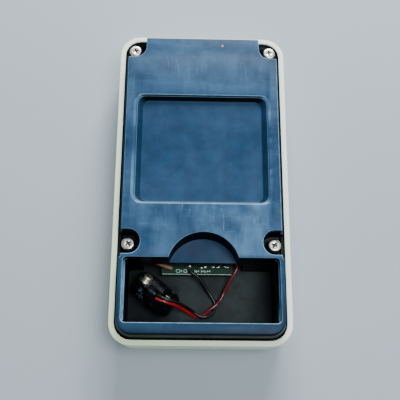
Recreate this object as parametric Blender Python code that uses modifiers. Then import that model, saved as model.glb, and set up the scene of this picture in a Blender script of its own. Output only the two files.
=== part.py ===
"""Hand-held wireless flash trigger, lying on its front with the battery door off.

Metres, +Z up. The origin is the middle of the front face, which is the lowest plane. +Z is the
back of the unit and +Y is the end that holds the sync socket.
"""
import math

import bmesh
import bpy
from mathutils import Matrix, Vector

# --- Overall case ---
CASE_WIDTH = 0.0760
CASE_LENGTH = 0.1432
RIM_HEIGHT = 0.0230
COVER_RISE = 0.0060
CASE_CORNER = 0.0093
CASE_DRAFT = 0.0012
RIM_WALL = 0.00235
LEDGE_WALL = 0.0036
LEDGE_DEPTH = 0.0030
FRONT_WALL = 0.0036
FRONT_EDGE = 0.0024
GAP = 0.0003

# --- Rear cover ---
COVER_TAPER = 0.0010
COVER_SKIN = 0.0024
COVER_EDGE = 0.0009
LIP_WALL = 0.0016
LIP_DEPTH = 0.0030
BAY_FLARE = 0.0005
LABEL_WIDTH = 0.0588
LABEL_LENGTH = 0.0502
LABEL_DEPTH = 0.0032
LABEL_SIDE_SLOPE = 0.0029
LABEL_END_SLOPE = 0.0011
LABEL_CORNER = 0.0036
LABEL_LIP_DEPTH = 0.0006
LABEL_LIP_SIDE = 0.0012
LABEL_LIP_END = 0.0005
LABEL_FROM_END = 0.0334

# --- Battery bay ---
BAY_LENGTH = 0.02685
BAY_FROM_END = 0.00855
BAY_CORNER = 0.0016
DOOR_LEDGE = 0.0008
DOOR_LEDGE_DEPTH = 0.0026
PASSAGE_LEFT = -0.0250
PASSAGE_RIGHT = 0.0185
NOTCH_RADIUS = 0.01527
NOTCH_X = 0.0009
NOTCH_RISE = 0.0110
NOTCH_DEPTH = 0.0108
NOTCH_FLOOR = 0.0016

# --- Cover screws and their pockets ---
SCREW_FROM_SIDE = 0.0070
SCREW_FROM_END = 0.0085
SCREW_FROM_BAY = 0.0068
SCREW_HEAD_RADIUS = 0.0028
SCREW_HEAD_HEIGHT = 0.0022
SCREW_SHANK_RADIUS = 0.00135
SCREW_LENGTH = 0.0120
SEAT_DEPTH = 0.0065
SEAT_RADIUS = 0.0029
POCKET_DEPTH = 0.0097
POCKET_FLOOR = 0.0020
POCKET_WALL = 0.0014
POCKET_HALF = 0.0052
POCKET_REACH = 0.0052
POCKET_CORNER = 0.0049
BOSS_RADIUS = 0.0037

# --- Circuit board ---
BOARD_WIDTH = 0.0312
BOARD_X = -0.0014
BOARD_THICKNESS = 0.0016
BOARD_BOTTOM = 0.0072
BOARD_REACH = 0.0028
BOARD_FROM_END = 0.0266
BOARD_SCREW_INSET_X = 0.0036
BOARD_SCREW_LOW = 0.0190
BOARD_SCREW_HIGH = 0.0036
BOARD_SCREW_RADIUS = 0.0010
BOARD_SCREW_HEAD = 0.0019
BOARD_SCREW_LENGTH = 0.0040
BOARD_SCREW_HEAD_HEIGHT = 0.0013
PILLAR_RADIUS = 0.0024

# --- What stands on the board: each size is (width, length, height) ---
HEADER_SIZE = (0.0130, 0.0024, 0.0022)
MODULE_SIZE = (0.0160, 0.0140, 0.0010)
SHIELD_SIZE = (0.0110, 0.0090, 0.0020)
CONTROLLER_SIZE = (0.0076, 0.0104, 0.0024)
CRYSTAL_SIZE = (0.0046, 0.0108, 0.0034)
THYRISTOR_SIZE = (0.0032, 0.0080, 0.0108)
REGULATOR_RADIUS = 0.0024
REGULATOR_HEIGHT = 0.0046
REGULATOR_FLAT = 0.0014
CAPACITOR_RADIUS = 0.0032
CAPACITOR_HEIGHT = 0.0110
CAPACITOR_NECK = 0.0004
CAPACITOR_WAIST = 0.0012

# --- Front controls ---
PANEL_RECESS = 0.0012
PANEL_MARGIN_X = 0.0085
PANEL_MARGIN_Y = 0.0110
PANEL_CORNER = 0.0050
FACEPLATE_THICKNESS = 0.0004
BUTTON_RADIUS = 0.0058
BUTTON_FLANGE = 0.0068
BUTTON_FLANGE_THICKNESS = 0.0007
BUTTON_EDGE = 0.0005
BUTTON_DISH_RADIUS = 0.0022
BUTTON_DISH_DEPTH = 0.0003
BUTTON_FROM_BOARD_END = 0.0210
BUTTON_TRAVEL = 0.0005
PLUNGER_RADIUS = 0.0015
FIRE_SWITCH_HALF = 0.0030
DIAL_RADIUS = 0.0034
DIAL_FROM_BOARD_END = 0.0230
DIAL_PIN = 0.0011
DIAL_PIN_LENGTH = 0.0014
DIAL_UNDER_BOARD = 0.0022
DIAL_SLOT_HALF = 0.00055
DIAL_SLOT_DEPTH = 0.0011
CODE_SWITCH_HALF = 0.0046
LENS_RADIUS = 0.0016
LENS_FLANGE = 0.0007
LENS_DOME = 0.0005
LAMP_HALF_X = 0.0016
LAMP_HALF_Y = 0.0010
LAMP_HEIGHT = 0.0011
LENS_FROM_BOARD_END = 0.0060
CONTROL_PROUD = 0.0008

# --- End wall: power slider and sync socket ---
END_AXIS_Z = 0.0120
SLIDER_X = 0.0140
SLIDER_TRAVEL = 0.0030
SLIDER_WIDTH = 0.0040
SLIDER_HEIGHT = 0.0032
SLIDER_DISH = 0.0012
SWITCH_CHANNEL = 0.45
SWITCH_WIDTH = 0.0124
SWITCH_HEIGHT = 0.0064
SWITCH_DEPTH = 0.0056
SOCKET_X = -0.0140
SOCKET_BORE = 0.00185
SOCKET_BORE_REACH = 0.8
SOCKET_BUSH = 0.0030
SOCKET_NUT = 0.0043
SOCKET_NUT_DEPTH = 0.0013
SOCKET_BODY_WIDTH = 0.0084
SOCKET_BODY_LENGTH = 0.0110
SOCKET_BODY_HEIGHT = 0.0076

# --- Battery snap and leads ---
SNAP_LENGTH = 0.0210
SNAP_WIDTH = 0.0118
SNAP_THICKNESS = 0.0034
SNAP_PITCH = 0.0127
SNAP_CORNER = 0.0050
SNAP_EASE = 0.0005
STUD_RADIUS = 0.0022
TERMINAL_HEIGHT = 0.0031
CLIP_MOUTH = 0.0036
CLIP_BORE = 0.0026
CLIP_FLOOR = 0.0005
CLIP_RIVET = 0.0006
SNAP_X = -0.0213
SNAP_FROM_BAY = 0.0133
SNAP_LIFT = 0.0114
SNAP_TURN = math.radians(-39.0)
SNAP_TILT = math.radians(50.0)
LEAD_DIAMETER = 0.0014
ANTENNA_DIAMETER = 0.0019
ANTENNA_INDENT = 0.0075
ANTENNA_CORNER = 0.0024
SOLDER_RADIUS = 0.0011
SOLDER_HEIGHT = 0.0009

# The leads are as limp as string, and these points are where they lie. Each is its place across
# the case, its distance beyond the bay's rear wall, and its height over the board or the floor.
RED_OVER_BOARD = [
    (0.0124, 0.0072, 0.0014), (0.0140, 0.0059, 0.0016), (0.0158, 0.0037, 0.0015),
    (0.0163, 0.0012, 0.0014), (0.0153, -0.0016, 0.0012), (0.0137, -0.0044, 0.0003),
]
RED_IN_BAY = [
    (0.0120, -0.0074, 0.0040), (0.0104, -0.0104, 0.0026), (0.0089, -0.0132, 0.0024),
    (0.0068, -0.0158, 0.0027), (0.0042, -0.0178, 0.0024), (0.0018, -0.0198, 0.0014),
    (-0.0007, -0.0207, 0.0011), (-0.0034, -0.0200, 0.0022), (-0.0068, -0.0182, 0.0052),
    (-0.0104, -0.0169, 0.0086), (-0.0140, -0.0164, 0.0111), (-0.0168, -0.0155, 0.0117),
    (-0.0190, -0.0145, 0.0116),
]
BLACK_OVER_BOARD = [
    (-0.0046, -0.0010, 0.0013), (-0.0038, -0.0020, 0.0013), (-0.0021, -0.0031, 0.0008),
    (-0.0001, -0.0046, -0.0002),
]
BLACK_IN_BAY = [
    (0.0016, -0.0067, 0.0037), (0.0033, -0.0092, 0.0023), (0.0050, -0.0118, 0.0014),
    (0.0064, -0.0143, 0.0010), (0.0066, -0.0169, 0.0009), (0.0052, -0.0195, 0.0014),
    (0.0026, -0.0209, 0.0025), (-0.0004, -0.0205, 0.0030), (-0.0031, -0.0188, 0.0040),
    (-0.0062, -0.0174, 0.0070), (-0.0098, -0.0162, 0.0106), (-0.0134, -0.0156, 0.0130),
    (-0.0160, -0.0147, 0.0134), (-0.0182, -0.0135, 0.0129),
]

# --- Heights and places that follow from the sizes above ---
HALF_WIDTH = CASE_WIDTH / 2
HALF_LENGTH = CASE_LENGTH / 2
COVER_TOP = RIM_HEIGHT + COVER_RISE
LEDGE_Z = RIM_HEIGHT - LEDGE_DEPTH
COVER_FOOT = LEDGE_Z + GAP
LIP_FOOT = COVER_FOOT - LIP_DEPTH
COVER_HALF_X = HALF_WIDTH - RIM_WALL - GAP
COVER_HALF_Y = HALF_LENGTH - RIM_WALL - GAP
LIP_HALF_X = HALF_WIDTH - LEDGE_WALL - GAP
LIP_HALF_Y = HALF_LENGTH - LEDGE_WALL - GAP
BAY_HALF_X = LIP_HALF_X - LIP_WALL
BAY_LOW = -HALF_LENGTH + BAY_FROM_END
BAY_HIGH = BAY_LOW + BAY_LENGTH
BAY_FOOT = FRONT_WALL + GAP
NOTCH_Y = BAY_HIGH + NOTCH_RISE - NOTCH_RADIUS
NOTCH_Z = COVER_TOP - NOTCH_DEPTH
LABEL_HIGH = HALF_LENGTH - LABEL_FROM_END
LABEL_LOW = LABEL_HIGH - LABEL_LENGTH
SEAT_Z = COVER_TOP - SEAT_DEPTH
POCKET_Z = COVER_TOP - POCKET_DEPTH
SCREW_X = HALF_WIDTH - SCREW_FROM_SIDE
SCREW_HIGH_Y = HALF_LENGTH - SCREW_FROM_END
SCREW_LOW_Y = BAY_HIGH + SCREW_FROM_BAY
BOSS_TOP = POCKET_Z - POCKET_FLOOR - GAP
BOARD_TOP = BOARD_BOTTOM + BOARD_THICKNESS
BOARD_LOW = BAY_HIGH - BOARD_REACH
BOARD_HIGH = HALF_LENGTH - BOARD_FROM_END
PART_Z = BOARD_TOP + GAP
UNDER_PART_Z = BOARD_BOTTOM - GAP
BUTTON_Y = BOARD_LOW + BUTTON_FROM_BOARD_END
DIAL_Y = BOARD_HIGH - DIAL_FROM_BOARD_END
LENS_Y = BOARD_HIGH - LENS_FROM_BOARD_END
CONTROL_Z = PANEL_RECESS - CONTROL_PROUD
SNAP_EDGE = Vector((SNAP_X, BAY_HIGH - SNAP_FROM_BAY, FRONT_WALL + SNAP_LIFT))
END_INNER_Y = HALF_LENGTH - LEDGE_WALL
END_OUTER_Y = HALF_LENGTH - CASE_DRAFT * (RIM_HEIGHT - END_AXIS_Z) / RIM_HEIGHT

SCREW_PLACES = {
    "upper_left": (-SCREW_X, SCREW_HIGH_Y),
    "upper_right": (SCREW_X, SCREW_HIGH_Y),
    "lower_left": (-SCREW_X, SCREW_LOW_Y),
    "lower_right": (SCREW_X, SCREW_LOW_Y),
}
BOARD_LEFT = BOARD_X - BOARD_WIDTH / 2
BOARD_RIGHT = BOARD_X + BOARD_WIDTH / 2
BOARD_SCREW_PLACES = {
    "upper_left": (BOARD_LEFT + BOARD_SCREW_INSET_X, BOARD_HIGH - BOARD_SCREW_HIGH),
    "upper_right": (BOARD_RIGHT - BOARD_SCREW_INSET_X, BOARD_HIGH - BOARD_SCREW_HIGH),
    "lower_left": (BOARD_LEFT + BOARD_SCREW_INSET_X, BOARD_LOW + BOARD_SCREW_LOW),
    "lower_right": (BOARD_RIGHT - BOARD_SCREW_INSET_X, BOARD_LOW + BOARD_SCREW_LOW),
}

# --- Finishes: colour, roughness, metallic ---
CREAM = ((0.66, 0.70, 0.58), 0.50, 0.0)
SLATE = ((0.035, 0.085, 0.14), 0.42, 0.0)
NICKEL = ((0.62, 0.60, 0.56), 0.28, 1.0)
BOARD_GREEN = ((0.02, 0.16, 0.08), 0.40, 0.0)
BLACK = ((0.012, 0.012, 0.014), 0.40, 0.0)
RED = ((0.45, 0.02, 0.03), 0.42, 0.0)
TAN = ((0.55, 0.38, 0.24), 0.55, 0.0)
GREY = ((0.10, 0.11, 0.12), 0.50, 0.0)
SOLDER = ((0.70, 0.70, 0.70), 0.25, 1.0)
AMBER = ((0.80, 0.35, 0.08), 0.15, 0.0)


def new_collection(name):
    collection = bpy.data.collections.new(name)
    bpy.context.scene.collection.children.link(collection)
    return collection


def clear_scene():
    for thing in list(bpy.data.objects):
        bpy.data.objects.remove(thing, do_unlink=True)


clear_scene()
PARTS = new_collection("wireless_flash_trigger")
CUTTERS = new_collection("cutters")


def finish_material(name, finish):
    colour, roughness, metallic = finish
    material = bpy.data.materials.new(name)
    material.use_nodes = True
    shader = material.node_tree.nodes["Principled BSDF"]
    shader.inputs["Base Color"].default_value = (*colour, 1.0)
    shader.inputs["Roughness"].default_value = roughness
    shader.inputs["Metallic"].default_value = metallic
    return material


def place(name, data, finish):
    """Link new data as a named part, or as a cutter when it has no finish."""
    thing = bpy.data.objects.new(name, data)
    if finish is None:
        CUTTERS.objects.link(thing)
        thing.hide_render = True
        thing.display_type = "WIRE"
    else:
        PARTS.objects.link(thing)
        data.materials.append(finish_material(name, finish))
    return thing


def mesh_from(bm, name):
    mesh = bpy.data.meshes.new(name)
    bm.to_mesh(mesh)
    bm.free()
    return mesh


def smooth(mesh):
    mesh.shade_smooth()
    mesh.set_sharp_from_angle(angle=math.radians(35))


def edges_at(bm, height):
    """Edges of the flat rim that lies at one height."""
    near = 1e-6
    return [e for e in bm.edges if all(abs(v.co.z - height) < near for v in e.verts)]


def block(name, low, high, finish=None, corner=0.0, turns=5, top_inset=(0.0, 0.0),
          foot_inset=(0.0, 0.0), top_edge=0.0, foot_edge=0.0):
    """A box between two corners, with round upright edges, drafted sides and eased rims."""
    low, high = Vector(low), Vector(high)
    middle, size = (low + high) / 2, high - low
    bm = bmesh.new()
    bmesh.ops.create_cube(bm, size=1.0)
    bmesh.ops.scale(bm, vec=size, verts=bm.verts)
    if corner > 0:
        upright = [e for e in bm.edges if abs(e.verts[0].co.z - e.verts[1].co.z) > size.z / 2]
        bmesh.ops.bevel(bm, geom=upright, offset=corner, segments=turns, profile=0.5,
                        affect="EDGES")
    for height, inset in ((size.z / 2, top_inset), (-size.z / 2, foot_inset)):
        ring = [v for v in bm.verts if abs(v.co.z - height) < 1e-6]
        shrink = (1 - 2 * inset[0] / size.x, 1 - 2 * inset[1] / size.y, 1.0)
        bmesh.ops.scale(bm, vec=shrink, verts=ring)
    for height, edge in ((size.z / 2, top_edge), (-size.z / 2, foot_edge)):
        if edge > 0:
            bmesh.ops.bevel(bm, geom=edges_at(bm, height), offset=edge, segments=3,
                            profile=0.5, affect="EDGES")
    bmesh.ops.translate(bm, vec=middle, verts=bm.verts)
    mesh = mesh_from(bm, name)
    smooth(mesh)
    return place(name, mesh, finish)


def rod(name, centre, radius, low, high, finish=None, sides=24, axis="Z"):
    """A cylinder between two stations on an axis parallel to Z or Y."""
    bm = bmesh.new()
    bmesh.ops.create_cone(bm, cap_ends=True, segments=sides, radius1=radius, radius2=radius,
                          depth=high - low)
    bmesh.ops.translate(bm, vec=(0, 0, (low + high) / 2), verts=bm.verts)
    if axis == "Y":
        bmesh.ops.rotate(bm, matrix=Matrix.Rotation(math.radians(-90), 3, "X"), verts=bm.verts)
    mesh = mesh_from(bm, name)
    smooth(mesh)
    thing = place(name, mesh, finish)
    thing.location = centre
    return thing


def turned(name, profile, finish, location=(0, 0, 0), rotation=(0, 0, 0), steps=28):
    """Spin (radius, height) points, given from the top down the outside, about Z."""
    mesh = bpy.data.meshes.new(name)
    points = [(radius, 0.0, height) for radius, height in profile]
    links = [(i, i + 1) for i in range(len(points) - 1)]
    closed = profile[0][0] > 0
    if closed:
        links.append((len(points) - 1, 0))
    mesh.from_pydata(points, links, [])
    thing = place(name, mesh, finish)
    thing.location = location
    thing.rotation_euler = rotation
    spin = thing.modifiers.new("spin", "SCREW")
    spin.axis = "Z"
    spin.steps = steps
    spin.render_steps = steps
    spin.use_merge_vertices = True
    spin.merge_threshold = 1e-6
    spin.use_smooth_shade = False
    return thing


def combine(thing, other, operation="DIFFERENCE"):
    """Cut a piece with a cutter, or join it on."""
    change = thing.modifiers.new(other.name, "BOOLEAN")
    change.operation = operation
    change.solver = "EXACT"
    change.object = other


def smooth_route(route, spacing):
    """Points read at even steps from a Catmull-Rom curve through the route."""
    knots = [Vector(p) for p in route]
    knots = [2 * knots[0] - knots[1]] + knots + [2 * knots[-1] - knots[-2]]
    fine = []
    steps = 12
    for a, b, c, d in zip(knots, knots[1:], knots[2:], knots[3:]):
        for i in range(steps):
            t = i / steps
            fine.append(0.5 * (2 * b + (c - a) * t + (2 * a - 5 * b + 4 * c - d) * t ** 2
                               + (3 * b - a - 3 * c + d) * t ** 3))
    fine.append(knots[-2])
    length = sum((q - p).length for p, q in zip(fine, fine[1:]))
    count = max(2, round(length / spacing))
    picked, walked, target = [fine[0]], 0.0, length / count
    for p, q in zip(fine, fine[1:]):
        span = (q - p).length
        while walked + span >= target and len(picked) < count:
            picked.append(p.lerp(q, (target - walked) / span))
            target += length / count
        walked += span
    return picked + [fine[-1]]


def wire(name, route, diameter, finish):
    """A round lead along a smooth route, with filled ends."""
    curve = bpy.data.curves.new(name, "CURVE")
    curve.dimensions = "3D"
    points = smooth_route(route, 2.0 * diameter)
    spline = curve.splines.new("POLY")
    spline.points.add(len(points) - 1)
    for point, where in zip(spline.points, points):
        point.co = (*where, 1.0)
    curve.bevel_depth = diameter / 2
    curve.bevel_resolution = 2
    curve.use_fill_caps = True
    return place(name, curve, finish)


def grow(low, high, by):
    """The corners of a box made larger all round."""
    step = Vector((by, by, by))
    return Vector(low) - step, Vector(high) + step


def pocket_corners(x, y):
    """Low and high corners of a screw pocket, which runs out through the side of the cover."""
    side = math.copysign(1.0, x)
    inner, outer = x - side * POCKET_REACH, side * (HALF_WIDTH + BOSS_RADIUS)
    low_y, high_y = y - POCKET_HALF, y + POCKET_HALF
    if y == SCREW_HIGH_Y:
        high_y = HALF_LENGTH + BOSS_RADIUS
    low = (min(inner, outer), low_y, POCKET_Z)
    return low, (max(inner, outer), high_y, COVER_TOP + COVER_RISE)


def front_casing():
    casing = block("front_casing", (-HALF_WIDTH, -HALF_LENGTH, 0),
                   (HALF_WIDTH, HALF_LENGTH, RIM_HEIGHT), CREAM, corner=CASE_CORNER, turns=7,
                   foot_inset=(CASE_DRAFT, CASE_DRAFT), foot_edge=FRONT_EDGE)
    seat = block("cut_cover_seat", (-HALF_WIDTH + RIM_WALL, -HALF_LENGTH + RIM_WALL, LEDGE_Z),
                 (HALF_WIDTH - RIM_WALL, HALF_LENGTH - RIM_WALL, COVER_TOP),
                 corner=CASE_CORNER - RIM_WALL)
    hollow = block("cut_case_hollow", (-HALF_WIDTH + LEDGE_WALL, -END_INNER_Y, FRONT_WALL),
                   (HALF_WIDTH - LEDGE_WALL, END_INNER_Y, RIM_HEIGHT),
                   corner=CASE_CORNER - LEDGE_WALL)
    combine(casing, seat)
    combine(casing, hollow)
    panel = block("cut_panel", (-HALF_WIDTH + PANEL_MARGIN_X, -HALF_LENGTH + PANEL_MARGIN_Y,
                                -PANEL_RECESS),
                  (HALF_WIDTH - PANEL_MARGIN_X, HALF_LENGTH - PANEL_MARGIN_Y, PANEL_RECESS),
                  corner=PANEL_CORNER)
    combine(casing, panel)
    add_bosses(casing)
    add_pillars(casing)
    cut_control_holes(casing)
    cut_end_wall(casing)
    return casing


def add_bosses(casing):
    """Hollow posts that the four cover screws bite into."""
    for name, (x, y) in SCREW_PLACES.items():
        post = rod("join_boss_" + name, (x, y, 0), BOSS_RADIUS, FRONT_WALL / 2, BOSS_TOP,
                   sides=20)
        combine(casing, post, "UNION")
        hole = rod("cut_boss_" + name, (x, y, 0), SCREW_SHANK_RADIUS + GAP,
                   SEAT_Z - SCREW_LENGTH - GAP, COVER_TOP, sides=12)
        combine(casing, hole)


def add_pillars(casing):
    """Short posts under the circuit board."""
    for name, (x, y) in BOARD_SCREW_PLACES.items():
        post = rod("join_pillar_" + name, (x, y, 0), PILLAR_RADIUS, FRONT_WALL / 2,
                   BOARD_BOTTOM - GAP, sides=16)
        combine(casing, post, "UNION")
        hole = rod("cut_pillar_" + name, (x, y, 0), BOARD_SCREW_RADIUS + GAP,
                   PART_Z - BOARD_SCREW_LENGTH - GAP, BOARD_TOP, sides=12)
        combine(casing, hole)


def cut_control_holes(casing):
    for name, y, radius in (("button", BUTTON_Y, BUTTON_RADIUS), ("dial", DIAL_Y, DIAL_RADIUS),
                            ("lens", LENS_Y, LENS_RADIUS)):
        combine(casing, rod("cut_hole_" + name, (0, y, 0), radius + GAP, -PANEL_RECESS,
                            BOARD_BOTTOM - 2 * GAP))


def cut_end_wall(casing):
    """The slider's window, its finger dish, and the socket's stepped hole."""
    half_x = (SLIDER_WIDTH + SLIDER_TRAVEL) / 2 + GAP
    half_z = SLIDER_HEIGHT / 2 + GAP
    middle = SLIDER_X + SLIDER_TRAVEL / 2
    window = block("cut_slider_window", (middle - half_x, END_INNER_Y - GAP, END_AXIS_Z - half_z),
                   (middle + half_x, HALF_LENGTH, END_AXIS_Z + half_z))
    dish_low, dish_high = grow((middle - half_x, END_OUTER_Y, END_AXIS_Z - half_z),
                               (middle + half_x, HALF_LENGTH, END_AXIS_Z + half_z),
                               SLIDER_DISH)
    dish = block("cut_slider_dish", dish_low, dish_high)
    bush = rod("cut_socket_bush", (SOCKET_X, 0, END_AXIS_Z), SOCKET_BUSH + GAP,
               END_INNER_Y - GAP, HALF_LENGTH + GAP, axis="Y")
    nut = rod("cut_socket_nut", (SOCKET_X, 0, END_AXIS_Z), SOCKET_NUT + GAP,
              END_OUTER_Y - SOCKET_NUT_DEPTH - 2 * GAP, HALF_LENGTH + GAP, axis="Y")
    for cutter in (window, dish, bush, nut):
        combine(casing, cutter)


def rear_cover():
    taper = (COVER_TAPER, COVER_TAPER)
    cover = block("rear_cover", (-COVER_HALF_X, -COVER_HALF_Y, COVER_FOOT),
                  (COVER_HALF_X, COVER_HALF_Y, COVER_TOP), SLATE,
                  corner=CASE_CORNER - RIM_WALL - GAP, turns=7, top_inset=taper,
                  top_edge=COVER_EDGE)
    lip = block("join_lip", (-LIP_HALF_X, -LIP_HALF_Y, LIP_FOOT),
                (LIP_HALF_X, LIP_HALF_Y, COVER_FOOT + GAP),
                corner=CASE_CORNER - LEDGE_WALL - GAP)
    bay = block("join_bay", (-LIP_HALF_X, BAY_LOW - LIP_WALL, BAY_FOOT),
                (LIP_HALF_X, BAY_HIGH + LIP_WALL, COVER_FOOT + GAP), corner=BAY_CORNER, turns=3)
    tub = rod("join_notch_tub", (NOTCH_X, NOTCH_Y, 0), NOTCH_RADIUS + LIP_WALL,
              NOTCH_Z - NOTCH_FLOOR, COVER_FOOT + GAP, sides=48)
    for piece in (lip, bay, tub):
        combine(cover, piece, "UNION")
    combine(cover, cover_cavity())
    cut_bay(cover)
    cut_label(cover)
    cut_shoulders(cover)
    for name, (x, y) in SCREW_PLACES.items():
        low, high = pocket_corners(x, y)
        combine(cover, block("cut_pocket_" + name, low, high, corner=POCKET_CORNER))
        combine(cover, rod("join_seat_" + name, (x, y, 0), SEAT_RADIUS, POCKET_Z - GAP, SEAT_Z,
                           sides=20), "UNION")
        combine(cover, rod("cut_screw_hole_" + name, (x, y, 0), SCREW_SHANK_RADIUS + GAP,
                           LIP_FOOT - GAP, SEAT_Z + GAP, sides=16))
    return cover


def cover_cavity():
    """The room inside the cover, less what the pockets, label recess and notch need."""
    cavity = block("cut_cavity", (-BAY_HALF_X, BAY_HIGH + LIP_WALL, LIP_FOOT - GAP),
                   (BAY_HALF_X, LIP_HALF_Y - LIP_WALL, COVER_TOP - COVER_SKIN))
    above = COVER_TOP + COVER_RISE
    under_label = block("keep_label", (-LABEL_WIDTH / 2 - LIP_WALL, LABEL_LOW - LIP_WALL,
                                       COVER_TOP - LABEL_DEPTH - COVER_SKIN),
                        (LABEL_WIDTH / 2 + LIP_WALL, LABEL_HIGH + LIP_WALL, above))
    round_notch = rod("keep_notch", (NOTCH_X, NOTCH_Y, 0), NOTCH_RADIUS + LIP_WALL,
                      NOTCH_Z - NOTCH_FLOOR - GAP, above, sides=48)
    combine(cavity, under_label)
    combine(cavity, round_notch)
    for name, (x, y) in SCREW_PLACES.items():
        low, high = pocket_corners(x, y)
        low, high = grow(low, high, POCKET_WALL)
        low.z = LIP_FOOT - 2 * GAP
        combine(cavity, block("keep_pocket_" + name, low, high))
    return cavity


def cut_bay(cover):
    """The battery's well, its door ledges, the board's way in and the thumb notch."""
    above = COVER_TOP + COVER_RISE
    well = block("cut_bay_well", (-BAY_HALF_X + DOOR_LEDGE, BAY_LOW, BAY_FOOT - GAP),
                 (BAY_HALF_X - DOOR_LEDGE, BAY_HIGH, above), corner=BAY_CORNER, turns=3)
    door = block("cut_bay_door", (-BAY_HALF_X, BAY_LOW, COVER_TOP - DOOR_LEDGE_DEPTH),
                 (BAY_HALF_X, BAY_HIGH, above), corner=BAY_CORNER, turns=3)
    passage = block("cut_board_passage", (PASSAGE_LEFT, BAY_HIGH - LIP_WALL, BAY_FOOT - GAP),
                    (PASSAGE_RIGHT, BAY_HIGH + 2 * LIP_WALL, NOTCH_Z - NOTCH_FLOOR - GAP))
    notch = rod("cut_notch", (NOTCH_X, NOTCH_Y, 0), NOTCH_RADIUS, NOTCH_Z, above, sides=64)
    for cutter in (well, door, passage, notch):
        combine(cover, cutter)


def cut_label(cover):
    """A shallow recess with sloping sides and an eased lip round it."""
    slope = (LABEL_SIDE_SLOPE, LABEL_END_SLOPE)
    ease = (2 * LABEL_LIP_SIDE, 2 * LABEL_LIP_END)
    combine(cover, block("cut_label_lip", (-LABEL_WIDTH / 2 - ease[0], LABEL_LOW - ease[1],
                                           COVER_TOP - LABEL_LIP_DEPTH),
                         (LABEL_WIDTH / 2 + ease[0], LABEL_HIGH + ease[1],
                          COVER_TOP + LABEL_LIP_DEPTH),
                         corner=LABEL_CORNER + ease[1], turns=5, foot_inset=ease))
    combine(cover, block("cut_label", (-LABEL_WIDTH / 2, LABEL_LOW, COVER_TOP - LABEL_DEPTH),
                         (LABEL_WIDTH / 2, LABEL_HIGH, COVER_TOP), corner=LABEL_CORNER, turns=5,
                         foot_inset=slope))


def cut_shoulders(cover):
    """Above the bay the cover's sides step in a little."""
    for side in (-1, 1):
        inner = side * (COVER_HALF_X - COVER_TAPER - BAY_FLARE)
        outer = side * (HALF_WIDTH + BOSS_RADIUS)
        combine(cover, block("cut_shoulder_" + ("left" if side < 0 else "right"),
                             (min(inner, outer), BAY_HIGH, RIM_HEIGHT),
                             (max(inner, outer), HALF_LENGTH, COVER_TOP + COVER_RISE)))


def pan_screw(name, x, y, seat, head, height, shank, length, finish, steps):
    """A pan-head screw with a cross drive, standing just off its seat."""
    foot = seat + GAP
    bulge = height * 0.45
    point = shank * 0.4
    screw = turned(name, [(0, foot + height), (head * 0.55, foot + height * 0.97),
                          (head * 0.86, foot + height * 0.78), (head, foot + bulge), (head, foot),
                          (shank, foot), (shank, foot - length + shank),
                          (point, foot - length), (0, foot - length)], finish, (x, y, 0),
                   steps=steps)
    arm, slot = head * 0.58, head * 0.15
    for turn, (half_x, half_y) in (("a", (arm, slot)), ("b", (slot, arm))):
        low = (x - half_x, y - half_y, foot + height * 0.42)
        high = (x + half_x, y + half_y, foot + height + GAP)
        combine(screw, block("cut_%s_cross_%s" % (name, turn), low, high,
                             foot_inset=(half_x * 0.25, half_y * 0.25)))
    return screw


def circuit_board():
    board = block("circuit_board", (BOARD_LEFT, BOARD_LOW, BOARD_BOTTOM),
                  (BOARD_RIGHT, BOARD_HIGH, BOARD_TOP), BOARD_GREEN)
    for name, (x, y) in BOARD_SCREW_PLACES.items():
        combine(board, rod("cut_board_" + name, (x, y, 0), BOARD_SCREW_RADIUS + GAP,
                           BOARD_BOTTOM - GAP, BOARD_TOP + GAP, sides=16))
    return board


def fire_button():
    """Round cap with a retaining flange, its plunger, and the switch below the board."""
    flange_foot = FRONT_WALL + GAP
    flange_top = flange_foot + BUTTON_FLANGE_THICKNESS
    turned("fire_button", [(0, flange_top), (BUTTON_FLANGE, flange_top),
                           (BUTTON_FLANGE, flange_foot), (BUTTON_RADIUS, flange_foot),
                           (BUTTON_RADIUS, CONTROL_Z + BUTTON_EDGE),
                           (BUTTON_RADIUS - BUTTON_EDGE, CONTROL_Z),
                           (BUTTON_DISH_RADIUS, CONTROL_Z + BUTTON_DISH_DEPTH),
                           (0, CONTROL_Z + BUTTON_DISH_DEPTH)], RED, (0, BUTTON_Y, 0), steps=40)
    plunger_foot = flange_top + GAP
    switch_foot = flange_top + BUTTON_TRAVEL + GAP
    plunger_top = UNDER_PART_Z - BUTTON_TRAVEL - BUTTON_EDGE
    rod("fire_switch_plunger", (0, BUTTON_Y, 0), PLUNGER_RADIUS, plunger_foot, plunger_top,
        BLACK, sides=20)
    half = FIRE_SWITCH_HALF
    body = block("fire_switch_body", (-half, BUTTON_Y - half, switch_foot),
                 (half, BUTTON_Y + half, UNDER_PART_Z), GREY, corner=0.0005, turns=2)
    combine(body, rod("cut_fire_switch", (0, BUTTON_Y, 0), PLUNGER_RADIUS + GAP,
                      switch_foot - GAP, UNDER_PART_Z - GAP, sides=20))


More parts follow.
